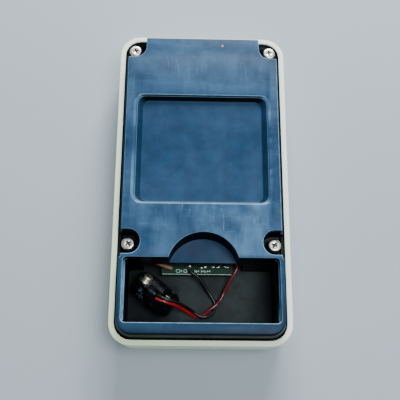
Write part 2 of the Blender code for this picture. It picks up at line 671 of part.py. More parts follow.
def channel_selector():
    """Screwdriver-turned dial and the ten-way code switch it drives."""
    dial_top = UNDER_PART_Z - DIAL_UNDER_BOARD
    pin_top = dial_top + DIAL_PIN_LENGTH
    dial = turned("channel_dial", [(0, pin_top), (DIAL_PIN, pin_top), (DIAL_PIN, dial_top),
                                   (DIAL_RADIUS, dial_top), (DIAL_RADIUS, CONTROL_Z),
                                   (0, CONTROL_Z)], BLACK, (0, DIAL_Y, 0), steps=32)
    arm = DIAL_RADIUS * 0.8
    combine(dial, block("cut_dial_slot", (-DIAL_SLOT_HALF, DIAL_Y - arm, CONTROL_Z - GAP),
                        (DIAL_SLOT_HALF, DIAL_Y + arm, CONTROL_Z + DIAL_SLOT_DEPTH)))
    half = CODE_SWITCH_HALF
    body = block("channel_switch_body", (-half, DIAL_Y - half, dial_top + GAP),
                 (half, DIAL_Y + half, UNDER_PART_Z), GREY, corner=0.0006, turns=2)
    combine(body, rod("cut_channel_switch", (0, DIAL_Y, 0), DIAL_PIN + GAP, dial_top,
                      pin_top + GAP, sides=20))


def status_light():
    """Clear light guide in the panel and the lamp chip above it."""
    guide_top = UNDER_PART_Z - LAMP_HEIGHT - GAP
    flange = LENS_RADIUS + LENS_FLANGE
    turned("status_lens", [(0, guide_top), (flange, guide_top), (flange, FRONT_WALL + GAP),
                           (LENS_RADIUS, FRONT_WALL + GAP), (LENS_RADIUS, CONTROL_Z + LENS_DOME),
                           (LENS_RADIUS * 0.6, CONTROL_Z), (0, CONTROL_Z)], AMBER,
           (0, LENS_Y, 0), steps=24)
    block("status_lamp", (-LAMP_HALF_X, LENS_Y - LAMP_HALF_Y, guide_top + GAP),
          (LAMP_HALF_X, LENS_Y + LAMP_HALF_Y, UNDER_PART_Z), CREAM)


def faceplate():
    """Thin overlay in the front recess, with the controls' holes."""
    foot = PANEL_RECESS - GAP - FACEPLATE_THICKNESS
    inset_x, inset_y = PANEL_MARGIN_X + GAP, PANEL_MARGIN_Y + GAP
    plate = block("faceplate", (-HALF_WIDTH + inset_x, -HALF_LENGTH + inset_y, foot),
                  (HALF_WIDTH - inset_x, HALF_LENGTH - inset_y, PANEL_RECESS - GAP), GREY,
                  corner=PANEL_CORNER - GAP, turns=5)
    for name, y, radius in (("button", BUTTON_Y, BUTTON_RADIUS), ("dial", DIAL_Y, DIAL_RADIUS),
                            ("lens", LENS_Y, LENS_RADIUS)):
        combine(plate, rod("cut_plate_" + name, (0, y, 0), radius + 2 * GAP, foot - GAP,
                           PANEL_RECESS))


def power_switch():
    """Slide switch on the end wall; its slider's nib comes out through the window."""
    body_outer = END_INNER_Y - GAP
    body_inner = body_outer - SWITCH_DEPTH
    middle = SLIDER_X + SLIDER_TRAVEL / 2
    half_z = SWITCH_HEIGHT / 2
    body = block("power_switch_body", (middle - SWITCH_WIDTH / 2, body_inner, END_AXIS_Z - half_z),
                 (middle + SWITCH_WIDTH / 2, body_outer, END_AXIS_Z + half_z), NICKEL)
    channel_x = (SLIDER_WIDTH + SLIDER_TRAVEL) / 2 + GAP
    channel_z = SLIDER_HEIGHT / 2 + GAP
    tail = body_outer - SWITCH_DEPTH * SWITCH_CHANNEL
    combine(body, block("cut_switch_channel", (middle - channel_x, tail, END_AXIS_Z - channel_z),
                        (middle + channel_x, HALF_LENGTH, END_AXIS_Z + channel_z)))
    block("power_slider", (SLIDER_X - SLIDER_WIDTH / 2, tail + GAP, END_AXIS_Z - SLIDER_HEIGHT / 2),
          (SLIDER_X + SLIDER_WIDTH / 2, END_OUTER_Y - GAP, END_AXIS_Z + SLIDER_HEIGHT / 2), BLACK)


def sync_socket():
    """Barrel socket for the sync cord, held by a ring nut in the end wall."""
    body_outer = END_INNER_Y - GAP
    half_x, half_z = SOCKET_BODY_WIDTH / 2, SOCKET_BODY_HEIGHT / 2
    body = block("sync_socket_body",
                 (SOCKET_X - half_x, body_outer - SOCKET_BODY_LENGTH, END_AXIS_Z - half_z),
                 (SOCKET_X + half_x, body_outer, END_AXIS_Z + half_z), BLACK)
    bush = rod("join_socket_bush", (SOCKET_X, 0, END_AXIS_Z), SOCKET_BUSH, body_outer - GAP,
               END_OUTER_Y - GAP, axis="Y", sides=28)
    bore = rod("cut_socket_bore", (SOCKET_X, 0, END_AXIS_Z), SOCKET_BORE,
               body_outer - SOCKET_BODY_LENGTH * SOCKET_BORE_REACH, HALF_LENGTH, axis="Y", sides=24)
    combine(body, bush, "UNION")
    combine(body, bore)
    nut_outer = END_OUTER_Y - GAP
    nut = rod("sync_socket_nut", (SOCKET_X, 0, END_AXIS_Z), SOCKET_NUT,
              nut_outer - SOCKET_NUT_DEPTH, nut_outer, NICKEL, axis="Y", sides=36)
    combine(nut, rod("cut_nut_bore", (SOCKET_X, 0, END_AXIS_Z), SOCKET_BUSH + GAP,
                     END_INNER_Y, HALF_LENGTH, axis="Y", sides=28))


def chip(name, x, y, size, finish, foot=PART_Z, **shape):
    """A packaged component standing on the board, or on another piece."""
    width, length, height = size
    return block(name, (x - width / 2, y - length / 2, foot),
                 (x + width / 2, y + length / 2, foot + height), finish, **shape)


def board_components():
    """What stands on the back of the board."""
    module_x, module_y = BOARD_X - 0.0050, BOARD_HIGH - 0.0210
    module_z = PART_Z + HEADER_SIZE[2] + GAP
    chip("radio_module_header", module_x, module_y - 0.0055, HEADER_SIZE, BLACK)
    chip("radio_module_board", module_x, module_y, MODULE_SIZE, BOARD_GREEN, module_z)
    chip("radio_module_shield", module_x, module_y + 0.0008, SHIELD_SIZE, NICKEL,
         module_z + MODULE_SIZE[2] + GAP, corner=0.0006, turns=2)
    chip("controller_chip", BOARD_X - 0.0040, BOARD_LOW + 0.0390, CONTROLLER_SIZE, BLACK,
         top_inset=(0.0003, 0.0003))
    chip("crystal_can", BOARD_X + 0.0070, BOARD_LOW + 0.0370, CRYSTAL_SIZE, NICKEL,
         corner=0.0022, top_edge=0.0003)
    chip("trigger_thyristor", BOARD_X + 0.0090, BOARD_HIGH - 0.0215, THYRISTOR_SIZE, BLACK)
    regulator_x, regulator_y = BOARD_X - 0.0100, BOARD_LOW + 0.0270
    regulator = rod("voltage_regulator", (regulator_x, regulator_y, 0), REGULATOR_RADIUS,
                    PART_Z, PART_Z + REGULATOR_HEIGHT, BLACK)
    flat_low = (regulator_x - REGULATOR_RADIUS - GAP, regulator_y + REGULATOR_FLAT, BOARD_TOP)
    flat_high = (regulator_x + REGULATOR_RADIUS + GAP, regulator_y + REGULATOR_RADIUS + GAP,
                 PART_Z + REGULATOR_HEIGHT + GAP)
    combine(regulator, block("cut_regulator_flat", flat_low, flat_high))
    radius, top = CAPACITOR_RADIUS, PART_Z + CAPACITOR_HEIGHT
    neck, waist = radius - CAPACITOR_NECK, PART_Z + CAPACITOR_WAIST
    turned("reservoir_capacitor", [(0, top), (neck, top), (radius, top - CAPACITOR_NECK),
                                   (radius, waist + CAPACITOR_NECK), (neck, waist),
                                   (radius, waist - CAPACITOR_NECK), (radius, PART_Z),
                                   (0, PART_Z)],
           BLACK, (BOARD_X + 0.0070, BOARD_HIGH - 0.0110, 0))


def solder_joint(name, x, y):
    foot, radius, height = PART_Z, SOLDER_RADIUS, SOLDER_HEIGHT
    turned(name, [(0, foot + height), (radius * 0.45, foot + height * 0.85),
                  (radius * 0.7, foot + height * 0.4), (radius, foot), (0, foot)], SOLDER,
           (x, y, 0), steps=16)


def snap_frame():
    """Matrix of the battery snap: X along it, Y down its slope, Z out of its terminal face."""
    turn = Matrix.Rotation(SNAP_TURN, 4, "Z")
    tilt = Matrix.Rotation(-SNAP_TILT, 4, "X")
    return Matrix.Translation(SNAP_EDGE) @ turn @ tilt


def battery_snap():
    """Moulded body with a lead boss on its upper edge, a stud and a socket terminal."""
    frame = snap_frame()
    half = SNAP_LENGTH / 2
    body = block("battery_snap", (-half, 0, -SNAP_THICKNESS), (half, SNAP_WIDTH, 0), BLACK,
                 corner=SNAP_CORNER, turns=5, top_edge=SNAP_EASE, foot_edge=SNAP_EASE)
    boss = block("join_snap_boss", (-0.0034, -0.0016, -SNAP_THICKNESS + 0.0010),
                 (0.0022, 0.0016, 0.0033), corner=0.0009, turns=3)
    combine(body, boss, "UNION")
    middle = SNAP_WIDTH / 2
    foot, radius, height = GAP, STUD_RADIUS, TERMINAL_HEIGHT
    stud = turned("snap_stud", [(0, foot + height), (radius * 0.8, foot + height),
                                (radius, foot + height * 0.85), (radius, foot + height * 0.6),
                                (radius * 0.82, foot + height * 0.45),
                                (radius * 0.82, foot + 0.0004), (radius * 1.15, foot + 0.0003),
                                (radius * 1.15, foot), (0, foot)], NICKEL)
    mouth, bore, base = CLIP_MOUTH, CLIP_BORE, foot + CLIP_FLOOR
    clip = turned("snap_clip", [(bore, foot + height), (mouth, foot + height),
                                (mouth * 0.86, foot + height * 0.4), (mouth * 0.9, foot),
                                (CLIP_RIVET, foot), (CLIP_RIVET, base), (bore * 0.85, base),
                                (bore * 0.8, foot + height * 0.5)],
                  NICKEL, steps=24)
    body.matrix_world = frame
    boss.matrix_world = frame
    stud.matrix_world = frame @ Matrix.Translation((-SNAP_PITCH / 2, middle, 0))
    clip.matrix_world = frame @ Matrix.Translation((SNAP_PITCH / 2, middle, 0))


def lead_route(over_board, in_bay):
    """A lead's points in the model's own frame."""
    route = []
    for points, base in ((over_board, BOARD_TOP), (in_bay, FRONT_WALL)):
        route += [(x, BAY_HIGH + y, base + z) for x, y, z in points]
    return route


def wiring():
    """The two battery leads and the aerial, with the joints that hold the leads."""
    for colour, over_board, in_bay, finish, step in (
            ("red", RED_OVER_BOARD, RED_IN_BAY, RED, (-0.0008, 0.0022)),
            ("black", BLACK_OVER_BOARD, BLACK_IN_BAY, BLACK, (-0.0002, 0.0021))):
        route = lead_route(over_board, in_bay)
        wire(colour + "_lead", route, LEAD_DIAMETER, finish)
        solder_joint(colour + "_solder_joint", route[0][0] + step[0], route[0][1] + step[1])
    height = PART_Z + ANTENNA_DIAMETER / 2
    left = BOARD_LEFT - ANTENNA_INDENT
    corner = BOARD_LOW + ANTENNA_CORNER
    wire("antenna_lead", [(BOARD_LEFT + 0.0046, corner, height),
                          (BOARD_LEFT + 0.0020, corner + 0.0009, height + 0.0002),
                          (BOARD_LEFT - 0.0020, corner + 0.0024, height + 0.0004),
                          (BOARD_LEFT - 0.0055, corner + 0.0048, height + 0.0002),
                          (left, corner + 0.0090, height), (left, corner + 0.0200, height),
                          (left, BOARD_HIGH - 0.0150, height), (left, BOARD_HIGH, height)],
         ANTENNA_DIAMETER, TAN)


front_casing()
rear_cover()
faceplate()
for spot, (screw_x, screw_y) in SCREW_PLACES.items():
    pan_screw("cover_screw_" + spot, screw_x, screw_y, SEAT_Z, SCREW_HEAD_RADIUS,
              SCREW_HEAD_HEIGHT, SCREW_SHANK_RADIUS, SCREW_LENGTH, NICKEL, 24)
circuit_board()
for spot, (screw_x, screw_y) in BOARD_SCREW_PLACES.items():
    pan_screw("board_screw_" + spot, screw_x, screw_y, BOARD_TOP, BOARD_SCREW_HEAD,
              BOARD_SCREW_HEAD_HEIGHT, BOARD_SCREW_RADIUS, BOARD_SCREW_LENGTH, NICKEL, 14)
fire_button()
channel_selector()
status_light()
power_switch()
sync_socket()
board_components()
battery_snap()
wiring()
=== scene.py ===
import math

import bmesh
import bpy
from mathutils import Matrix, Vector


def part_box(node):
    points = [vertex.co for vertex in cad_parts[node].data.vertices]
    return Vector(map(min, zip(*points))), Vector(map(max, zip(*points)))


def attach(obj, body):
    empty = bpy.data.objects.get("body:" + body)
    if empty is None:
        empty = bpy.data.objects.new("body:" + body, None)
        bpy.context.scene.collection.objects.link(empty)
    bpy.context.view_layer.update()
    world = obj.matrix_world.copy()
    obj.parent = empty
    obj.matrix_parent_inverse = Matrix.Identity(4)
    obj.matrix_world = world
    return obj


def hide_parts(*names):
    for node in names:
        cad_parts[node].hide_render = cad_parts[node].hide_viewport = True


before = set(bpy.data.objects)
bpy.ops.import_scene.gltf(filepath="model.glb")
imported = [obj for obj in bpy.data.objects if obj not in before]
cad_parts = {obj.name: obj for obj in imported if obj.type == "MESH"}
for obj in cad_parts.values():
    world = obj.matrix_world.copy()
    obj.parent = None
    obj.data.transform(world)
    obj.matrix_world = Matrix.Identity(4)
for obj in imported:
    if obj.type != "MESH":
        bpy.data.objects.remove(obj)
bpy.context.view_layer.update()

# --- Sizes shared with the solids ---
LEAD_DIAMETER = 0.0014
AERIAL_DIAMETER = 0.0019
BOARD_LEFT, BOARD_LOW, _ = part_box("circuit_board")[0]
BOARD_RIGHT, BOARD_HIGH, BOARD_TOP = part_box("circuit_board")[1]
COVER_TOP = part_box("rear_cover")[1].z
RIM_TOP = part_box("front_casing")[1].z
BOARD_IN_BAY = 0.0028
BAY_REAR = BOARD_LOW + BOARD_IN_BAY
FLOOR = 0.0036
ROOM_HALF_X, ROOM_HALF_Y, ROOM_CORNER, ROOM_BOTTOM = 0.0359, 0.0695, 0.0071, 0.0014
LABEL_LEDGE = COVER_TOP - 0.0006
LIP_LOW = (-0.0312, -0.0136, 0.0280)
LIP_HIGH = (0.0312, 0.0396, 0.0292)
NOTCH_LOW = (-0.0152, -0.0420, 0.0178)
NOTCH_HIGH = (0.0170, -0.0240, 0.0192)
SCREW_HEAD_RADIUS = 0.0028
SCREW_HEAD_HEIGHT = 0.0022
SNAP_PLACE = (
    Matrix.Translation((-0.0213, BAY_REAR - 0.0133, FLOOR + 0.0114))
    @ Matrix.Rotation(math.radians(-39.0), 4, "Z")
    @ Matrix.Rotation(math.radians(-50.0), 4, "X")
)
SNAP_MIDDLE = 0.0059
SNAP_HALF_PITCH = 0.00635

# --- Routes ---
# The leads' points are measured from the bay's rear wall, and up from the board or the floor.
RED_OVER_BOARD = [
    (0.0124, 0.0072, 0.0014), (0.0140, 0.0059, 0.0016), (0.0158, 0.0037, 0.0015),
    (0.0163, 0.0012, 0.0014), (0.0153, -0.0016, 0.0012), (0.0137, -0.0044, 0.0003),
]
RED_IN_BAY = [
    (0.0120, -0.0074, 0.0040), (0.0104, -0.0104, 0.0026), (0.0089, -0.0132, 0.0024),
    (0.0068, -0.0158, 0.0027), (0.0042, -0.0178, 0.0024), (0.0018, -0.0198, 0.0014),
    (-0.0007, -0.0207, 0.0011), (-0.0034, -0.0200, 0.0022), (-0.0068, -0.0182, 0.0052),
    (-0.0104, -0.0169, 0.0086), (-0.0140, -0.0164, 0.0111), (-0.0168, -0.0155, 0.0117),
    (-0.0190, -0.0145, 0.0116),
]
BLACK_OVER_BOARD = [
    (-0.0046, -0.0010, 0.0013), (-0.0038, -0.0020, 0.0013), (-0.0021, -0.0031, 0.0008),
    (-0.0001, -0.0046, -0.0002),
]
BLACK_IN_BAY = [
    (0.0016, -0.0067, 0.0037), (0.0033, -0.0092, 0.0023), (0.0050, -0.0118, 0.0014),
    (0.0064, -0.0143, 0.0010), (0.0066, -0.0169, 0.0009), (0.0052, -0.0195, 0.0014),
    (0.0026, -0.0209, 0.0025), (-0.0004, -0.0205, 0.0030), (-0.0031, -0.0188, 0.0040),
    (-0.0062, -0.0174, 0.0070), (-0.0098, -0.0162, 0.0106), (-0.0134, -0.0156, 0.0130),
    (-0.0160, -0.0147, 0.0134), (-0.0182, -0.0135, 0.0129),
]
# The aerial starts at the board's left corner and runs up a lane beside the board.
AERIAL_START = (BOARD_LEFT, BOARD_LOW + 0.0024, BOARD_TOP + 0.00125)
AERIAL_LANE = -0.0075
AERIAL_ROUTE = [
    tuple(start + step for start, step in zip(AERIAL_START, steps))
    for steps in (
        (0.0046, 0.0, 0.0), (0.0020, 0.0009, 0.0002), (-0.0020, 0.0024, 0.0004),
        (-0.0055, 0.0048, 0.0002), (AERIAL_LANE, 0.0090, 0.0), (AERIAL_LANE, 0.0200, 0.0),
    )
] + [
    (BOARD_LEFT + AERIAL_LANE, BOARD_HIGH - short, AERIAL_START[2]) for short in (0.0150, 0.0)
]


# --- Camera ---
CAMERA_LENS = 62.1
CAMERA_PLACE = Vector((-0.00748, -0.10577, 0.30675))
CAMERA_RIGHT = Vector((0.99965, 0.00589, 0.02595)).normalized()
CAMERA_BACK = Vector((-0.02267, -0.32265, 0.94625)).normalized()


def set_camera():
    data = bpy.data.cameras.new("camera")
    data.sensor_width = 36.0
    data.lens = CAMERA_LENS
    data.dof.use_dof = False
    camera = bpy.data.objects.new("camera", data)
    bpy.context.collection.objects.link(camera)
    up = CAMERA_BACK.cross(CAMERA_RIGHT)
    sides = zip(CAMERA_RIGHT, up, CAMERA_BACK, CAMERA_PLACE)
    camera.matrix_world = Matrix((*sides, (0.0, 0.0, 0.0, 1.0)))
    bpy.context.scene.camera = camera


# --- Finishes ---
class Finish:
    """A moulded, plated or printed surface, built up from nodes on object coordinates."""

    def __init__(self, name, roughness=0.5, metallic=0.0, **fixed):
        self.material = bpy.data.materials.new(name)
        self.material.use_nodes = True
        self.tree = self.material.node_tree
        self.shader = self.tree.nodes["Principled BSDF"]
        self.set("Roughness", roughness)
        self.set("Metallic", metallic)
        for socket, value in fixed.items():
            self.set(socket.replace("_", " "), value)
        self.place = self.tree.nodes.new("ShaderNodeTexCoord").outputs["Object"]
        self.height = None

    def join(self, socket, value):
        """Link a socket to another one, or give it a colour, a vector or a number."""
        if isinstance(value, bpy.types.NodeSocket):
            self.tree.links.new(value, socket)
        elif isinstance(value, (tuple, list)) and len(socket.default_value) == 4:
            socket.default_value = (*value[:3], 1.0)
        else:
            socket.default_value = value

    def set(self, socket, value):
        self.join(self.shader.inputs[socket], value)

    def calc(self, operation, *values, clamp=False):
        node = self.tree.nodes.new("ShaderNodeMath")
        node.operation = operation
        node.use_clamp = clamp
        for socket, value in zip(node.inputs, values):
            self.join(socket, value)
        return node.outputs[0]

    def times(self, *values, clamp=False):
        product = values[0]
        for value in values[1:]:
            product = self.calc("MULTIPLY", product, value, clamp=clamp)
        return product

    def plus(self, *values, clamp=False):
        total = values[0]
        for value in values[1:]:
            total = self.calc("ADD", total, value, clamp=clamp)
        return total

    def shift(self, operation, *values):
        node = self.tree.nodes.new("ShaderNodeVectorMath")
        node.operation = operation
        for socket, value in zip(node.inputs, values):
            self.join(socket, value)
        return node.outputs[0]

    def noise(self, scale, detail=3.0, roughness=0.55, stretch=(1, 1, 1), start=(0, 0, 0)):
        mapping = self.tree.nodes.new("ShaderNodeMapping")
        self.join(mapping.inputs["Vector"], self.place)
        mapping.inputs["Scale"].default_value = stretch
        mapping.inputs["Location"].default_value = start
        node = self.tree.nodes.new("ShaderNodeTexNoise")
        self.join(node.inputs["Vector"], mapping.outputs[0])
        node.inputs["Scale"].default_value = scale
        node.inputs["Detail"].default_value = detail
        node.inputs["Roughness"].default_value = roughness
        return node.outputs[0]

    def grade(self, value, low, high, out_low=0.0, out_high=1.0):
        """Run smoothly from one output to the other while a value goes from low to high."""
        node = self.tree.nodes.new("ShaderNodeMapRange")
        node.interpolation_type = "SMOOTHSTEP"
        for socket, v in zip(node.inputs, (value, low, high, out_low, out_high)):
            self.join(socket, v)
        return node.outputs[0]

    def mix(self, amount, under, over):
        """Lay one colour over another: none of it at 0, only it at 1."""
        node = self.tree.nodes.new("ShaderNodeMix")
        node.data_type = "RGBA"
        self.join(node.inputs["Factor"], amount)
        self.join(node.inputs[6], under)
        self.join(node.inputs[7], over)
        return node.outputs[2]

    def axis(self, letter):
        node = self.tree.nodes.new("ShaderNodeSeparateXYZ")
        self.join(node.inputs[0], self.place)
        return node.outputs[letter]

    def above(self, letter, low, high):
        """0 before the low height on an axis, 1 past the high one."""
        return self.grade(self.axis(letter), low, high)

    def below(self, letter, low, high):
        """1 before the low height on an axis, 0 past the high one."""
        return self.grade(self.axis(letter), low, high, 1.0, 0.0)

    def zone(self, low, high, soft):
        """1 inside a box and 0 outside it, with a soft border."""
        low, high = Vector(low), Vector(high)
        away = self.shift("SUBTRACT", self.place, tuple((low + high) / 2))
        away = self.shift("ABSOLUTE", away)
        away = self.shift("SUBTRACT", away, tuple((high - low) / 2))
        node = self.tree.nodes.new("ShaderNodeSeparateXYZ")
        self.join(node.inputs[0], away)
        far = self.calc("MAXIMUM", node.outputs[0], node.outputs[1])
        far = self.calc("MAXIMUM", far, node.outputs[2])
        return self.grade(far, -soft, soft, 1.0, 0.0)

    def room(self, half_x, half_y, corner, low, high, soft=0.0001):
        """1 inside an upright room with round corners, centred on the origin."""
        away = self.shift("ABSOLUTE", self.place)
        away = self.shift("SUBTRACT", away, (half_x - corner, half_y - corner, 0.0))
        away = self.shift("MAXIMUM", away, (0.0, 0.0, 0.0))
        node = self.tree.nodes.new("ShaderNodeVectorMath")
        node.operation = "LENGTH"
        self.join(node.inputs[0], self.shift("MULTIPLY", away, (1.0, 1.0, 0.0)))
        within = self.grade(node.outputs["Value"], corner - soft, corner + soft, 1.0, 0.0)
        over = self.above("Z", low - soft, low + soft)
        under = self.below("Z", high - soft, high + soft)
        return self.times(within, over, under)

    def near(self, x, y, radius, soft):
        """1 near an upright line and 0 away from it."""
        flat = self.shift("MULTIPLY", self.place, (1.0, 1.0, 0.0))
        node = self.tree.nodes.new("ShaderNodeVectorMath")
        node.operation = "DISTANCE"
        self.join(node.inputs[0], flat)
        node.inputs[1].default_value = (x, y, 0.0)
        return self.grade(node.outputs["Value"], radius, radius + soft, 1.0, 0.0)

    def facing(self, direction, low, high, ends=(0.0, 1.0)):
        """1 where a face's stored turn points along a direction and 0 where it points away."""
        turn = self.tree.nodes.new("ShaderNodeAttribute")
        turn.attribute_name = "face_turn"
        node = self.tree.nodes.new("ShaderNodeVectorMath")
        node.operation = "DOT_PRODUCT"
        self.join(node.inputs[0], turn.outputs["Vector"])
        node.inputs[1].default_value = direction
        return self.grade(node.outputs["Value"], low, high, *ends)

    def relief(self, height, distance, strength=1.0):
        """Raise the surface by a pattern, on top of any relief it already has."""
        bump = self.tree.nodes.new("ShaderNodeBump")
        bump.inputs["Distance"].default_value = distance
        bump.inputs["Strength"].default_value = strength
        self.join(bump.inputs["Height"], height)
        if self.height is not None:
            self.join(bump.inputs["Normal"], self.height)
        self.height = bump.outputs[0]
        self.set("Normal", self.height)


CREAM_FRESH, CREAM_AGED = (0.92, 1.00, 0.88), (0.76, 0.94, 0.60)
CREAM_BLOTCH, CREAM_DIRT = (0.76, 0.84, 0.66), (0.30, 0.33, 0.25)
# Painted shade for the casing's inside, with a browner patch on it.
INSIDE_SHADE_PALE, INSIDE_SHADE_DEEP = (0.0420, 0.0560, 0.0580), (0.0230, 0.0330, 0.0350)
INSIDE_BROWN_PATCH, INSIDE_SHADE_BLACKEST = (0.036, 0.030, 0.022), (0.0020, 0.0042, 0.0054)
BROWN_PATCH_X, BROWN_PATCH_Y = 0.015, -0.046


def inside_painted_shade(f):
    """Painted shade on the casing's dark inside: patchy, browner in one patch and blackest
    towards the left.
    """
    patch = f.grade(f.noise(70.0, 3.0, start=(0.3, 0.1, 0.0)), 0.35, 0.65)
    inside_shade = f.mix(patch, INSIDE_SHADE_DEEP, INSIDE_SHADE_PALE)
    brown_patch = f.near(BROWN_PATCH_X, BROWN_PATCH_Y, 0.003, 0.012)
    brown_patch = f.times(brown_patch, f.grade(f.noise(180.0, 3.0), 0.4, 0.6), 0.6)
    inside_shade = f.mix(brown_patch, inside_shade, INSIDE_BROWN_PATCH)
    # Painted shade: blackest towards the left.
    left_shade = f.times(f.below("X", -0.022, -0.004), 0.85)
    return f.mix(left_shade, inside_shade, INSIDE_SHADE_BLACKEST)


def cream_plastic():
    """Cream casing, yellowed with age, its inside darkened by painted shade."""
    f = Finish("cream_moulding", roughness=0.5, IOR=1.3)
    across = f.plus(f.axis("X"), f.times(f.axis("Y"), 0.6))
    age = f.grade(across, -0.075, 0.02, 1.0, 0.0)
    shade = f.mix(f.times(age, 0.85), CREAM_FRESH, CREAM_AGED)
    blotch = f.grade(f.noise(45.0, 4.0), 0.35, 0.7)
    shade = f.mix(f.times(blotch, 0.14), shade, CREAM_BLOTCH)
    dirt = f.grade(f.noise(260.0, 5.0, 0.7), 0.62, 0.76)
    shade = f.mix(f.times(dirt, 0.16), shade, CREAM_DIRT)
    inside = f.room(ROOM_HALF_X, ROOM_HALF_Y, ROOM_CORNER, ROOM_BOTTOM, RIM_TOP - 0.0006)
    f.set("Base Color", f.mix(inside, shade, inside_painted_shade(f)))
    polish = f.grade(f.noise(120.0, 3.0), 0.3, 0.7, 0.42, 0.58)
    f.set("Roughness", f.plus(polish, f.times(inside, 0.30)))
    f.relief(f.noise(2600.0, 2.0), 0.00003, 0.5)
    return f.material


SLATE_DARK, SLATE_LIGHT = (0.0060, 0.0340, 0.0850), (0.0090, 0.0450, 0.1080)
# Painted shade: the darker slate of the low end bar and of the cover's inner walls.
SLATE_END_SHADE, SLATE_WALL_SHADE = (0.0012, 0.0160, 0.0370), (0.0012, 0.0085, 0.0160)
SLATE_DUSTY, SLATE_RUBBED_LIT = (0.120, 0.260, 0.450), (0.20, 0.40, 0.55)
SLATE_SCRATCH, SLATE_SPECK = (0.18, 0.32, 0.46), (0.28, 0.40, 0.50)
# Painted shade: near-black slate for the rolled end, the deep parts and walls facing -Y.
SLATE_ROLL_SHADE, SLATE_DEEP_SHADE = (0.0010, 0.0070, 0.0140), (0.0012, 0.0020, 0.0030)
SLATE_LOW_WALL_SHADE = (0.0008, 0.0020, 0.0035)
RUST = (0.60, 0.22, 0.12)
FLECK_X, FLECK_Y = 0.0091, 0.0641


def cover_dust(f):
    """Pale dust in clouds, drawn out into streaks along and across the cover."""
    clouds = f.grade(f.noise(38.0, 5.0, 0.6), 0.36, 0.66)
    streaks = f.noise(55.0, 4.0, 0.7, stretch=(1.0, 0.22, 1.0), start=(0.2, 0, 0))
    brushed = f.noise(60.0, 4.0, 0.7, stretch=(0.25, 1.0, 1.0), start=(0, 0.4, 0))
    all_dust = f.plus(clouds, f.grade(streaks, 0.42, 0.72), f.grade(brushed, 0.44, 0.74))
    return f.times(all_dust, 0.40)


def cover_wear_and_highlight(f):
    """How much the cover's top is handled, at its ends and sides, plus a painted highlight on
    the label recess's lip.
    """
    upper_end = f.times(f.above("Y", 0.036, 0.044), 0.42)
    palm_rest = f.times(f.below("Y", -0.013, -0.0095), f.above("Y", -0.037, -0.034),
                        f.grade(f.axis("X"), -0.036, 0.026, 0.35, 1.25))
    sides = f.times(f.grade(f.calc("ABSOLUTE", f.axis("X")), 0.0290, 0.0300),
                    f.above("Y", -0.036, 0.010), 0.40)
    # Painted highlight on the label recess's sloped lip.
    lip_highlight = f.times(f.zone(LIP_LOW, LIP_HIGH, 0.0003),
                  f.facing((0.0, 0.0, 1.0), 0.97, 0.995, ends=(1.0, 0.0)), 0.9)
    wear_and_highlight = f.plus(f.calc("MAXIMUM", f.plus(upper_end, palm_rest), sides), lip_highlight)
    return f.times(wear_and_highlight, f.above("Z", COVER_TOP - 0.0014, LABEL_LEDGE))


def scuffed(f, shade, wear_and_highlight):
    """Crossed scratches and specks, strongest where the cover is handled and on the painted lip
    highlight, and one fleck of rust.
    """
    along = f.noise(420.0, 4.0, 0.75, stretch=(1.0, 0.16, 1.0), start=(0.7, 0.1, 0))
    across = f.noise(380.0, 4.0, 0.75, stretch=(0.14, 1.0, 1.0), start=(0.1, 0.9, 0))
    scratches = f.plus(f.grade(along, 0.60, 0.72), f.grade(across, 0.62, 0.74), clamp=True)
    scratches = f.times(scratches, 0.28, f.plus(wear_and_highlight, 0.12))
    shade = f.mix(scratches, shade, SLATE_SCRATCH)
    specks = f.grade(f.noise(1500.0, 2.0, 0.5, start=(0.5, 0.2, 0.1)), 0.72, 0.77)
    specks = f.times(specks, f.plus(f.times(wear_and_highlight, 0.5), 0.10))
    shade = f.mix(specks, shade, SLATE_SPECK)
    fleck = f.times(f.near(FLECK_X, FLECK_Y, 0.00035, 0.0004), 0.9)
    return f.mix(fleck, shade, RUST)


def rubbed_and_lit(f, shade):
    """Paler plastic on the cover's top edges: rubbed wear, and a painted highlight strongest on
    edges that face +Y.
    """
    rub_and_light = f.noise(240.0, 4.0, 0.65, start=(0.1, 0.6, 0.3))
    # Painted highlight: the rubbed edges come out paler still where they face +Y, towards the
    # key light.
    rub_and_light = f.times(f.grade(rub_and_light, 0.25, 0.70, 0.45, 1.0),
                  f.above("Z", COVER_TOP - 0.0030, COVER_TOP - 0.0027),
                  f.facing((0.35, 0.94, 0.0), -0.25, 0.35, ends=(0.45, 1.0)))
    return f.mix(rub_and_light, shade, SLATE_RUBBED_LIT)


def in_painted_shade(f, shade):
    """Painted shade: darker on the rolled low end, deep down outside the notch and on walls
    facing -Y.
    """
    roll_shade = f.times(f.below("Y", -0.0686, -0.0648), 0.9)
    shade = f.mix(roll_shade, shade, SLATE_ROLL_SHADE)
    notch = f.zone(NOTCH_LOW, NOTCH_HIGH, 0.0004)
    deep_shade = f.times(f.below("Z", 0.0192, 0.0262), f.calc("SUBTRACT", 1.0, notch), 0.93)
    shade = f.mix(deep_shade, shade, SLATE_DEEP_SHADE)
    low_wall_shade = f.times(f.facing((0.0, -1.0, 0.0), 0.35, 0.75), 0.92)
    return f.mix(low_wall_shade, shade, SLATE_LOW_WALL_SHADE)


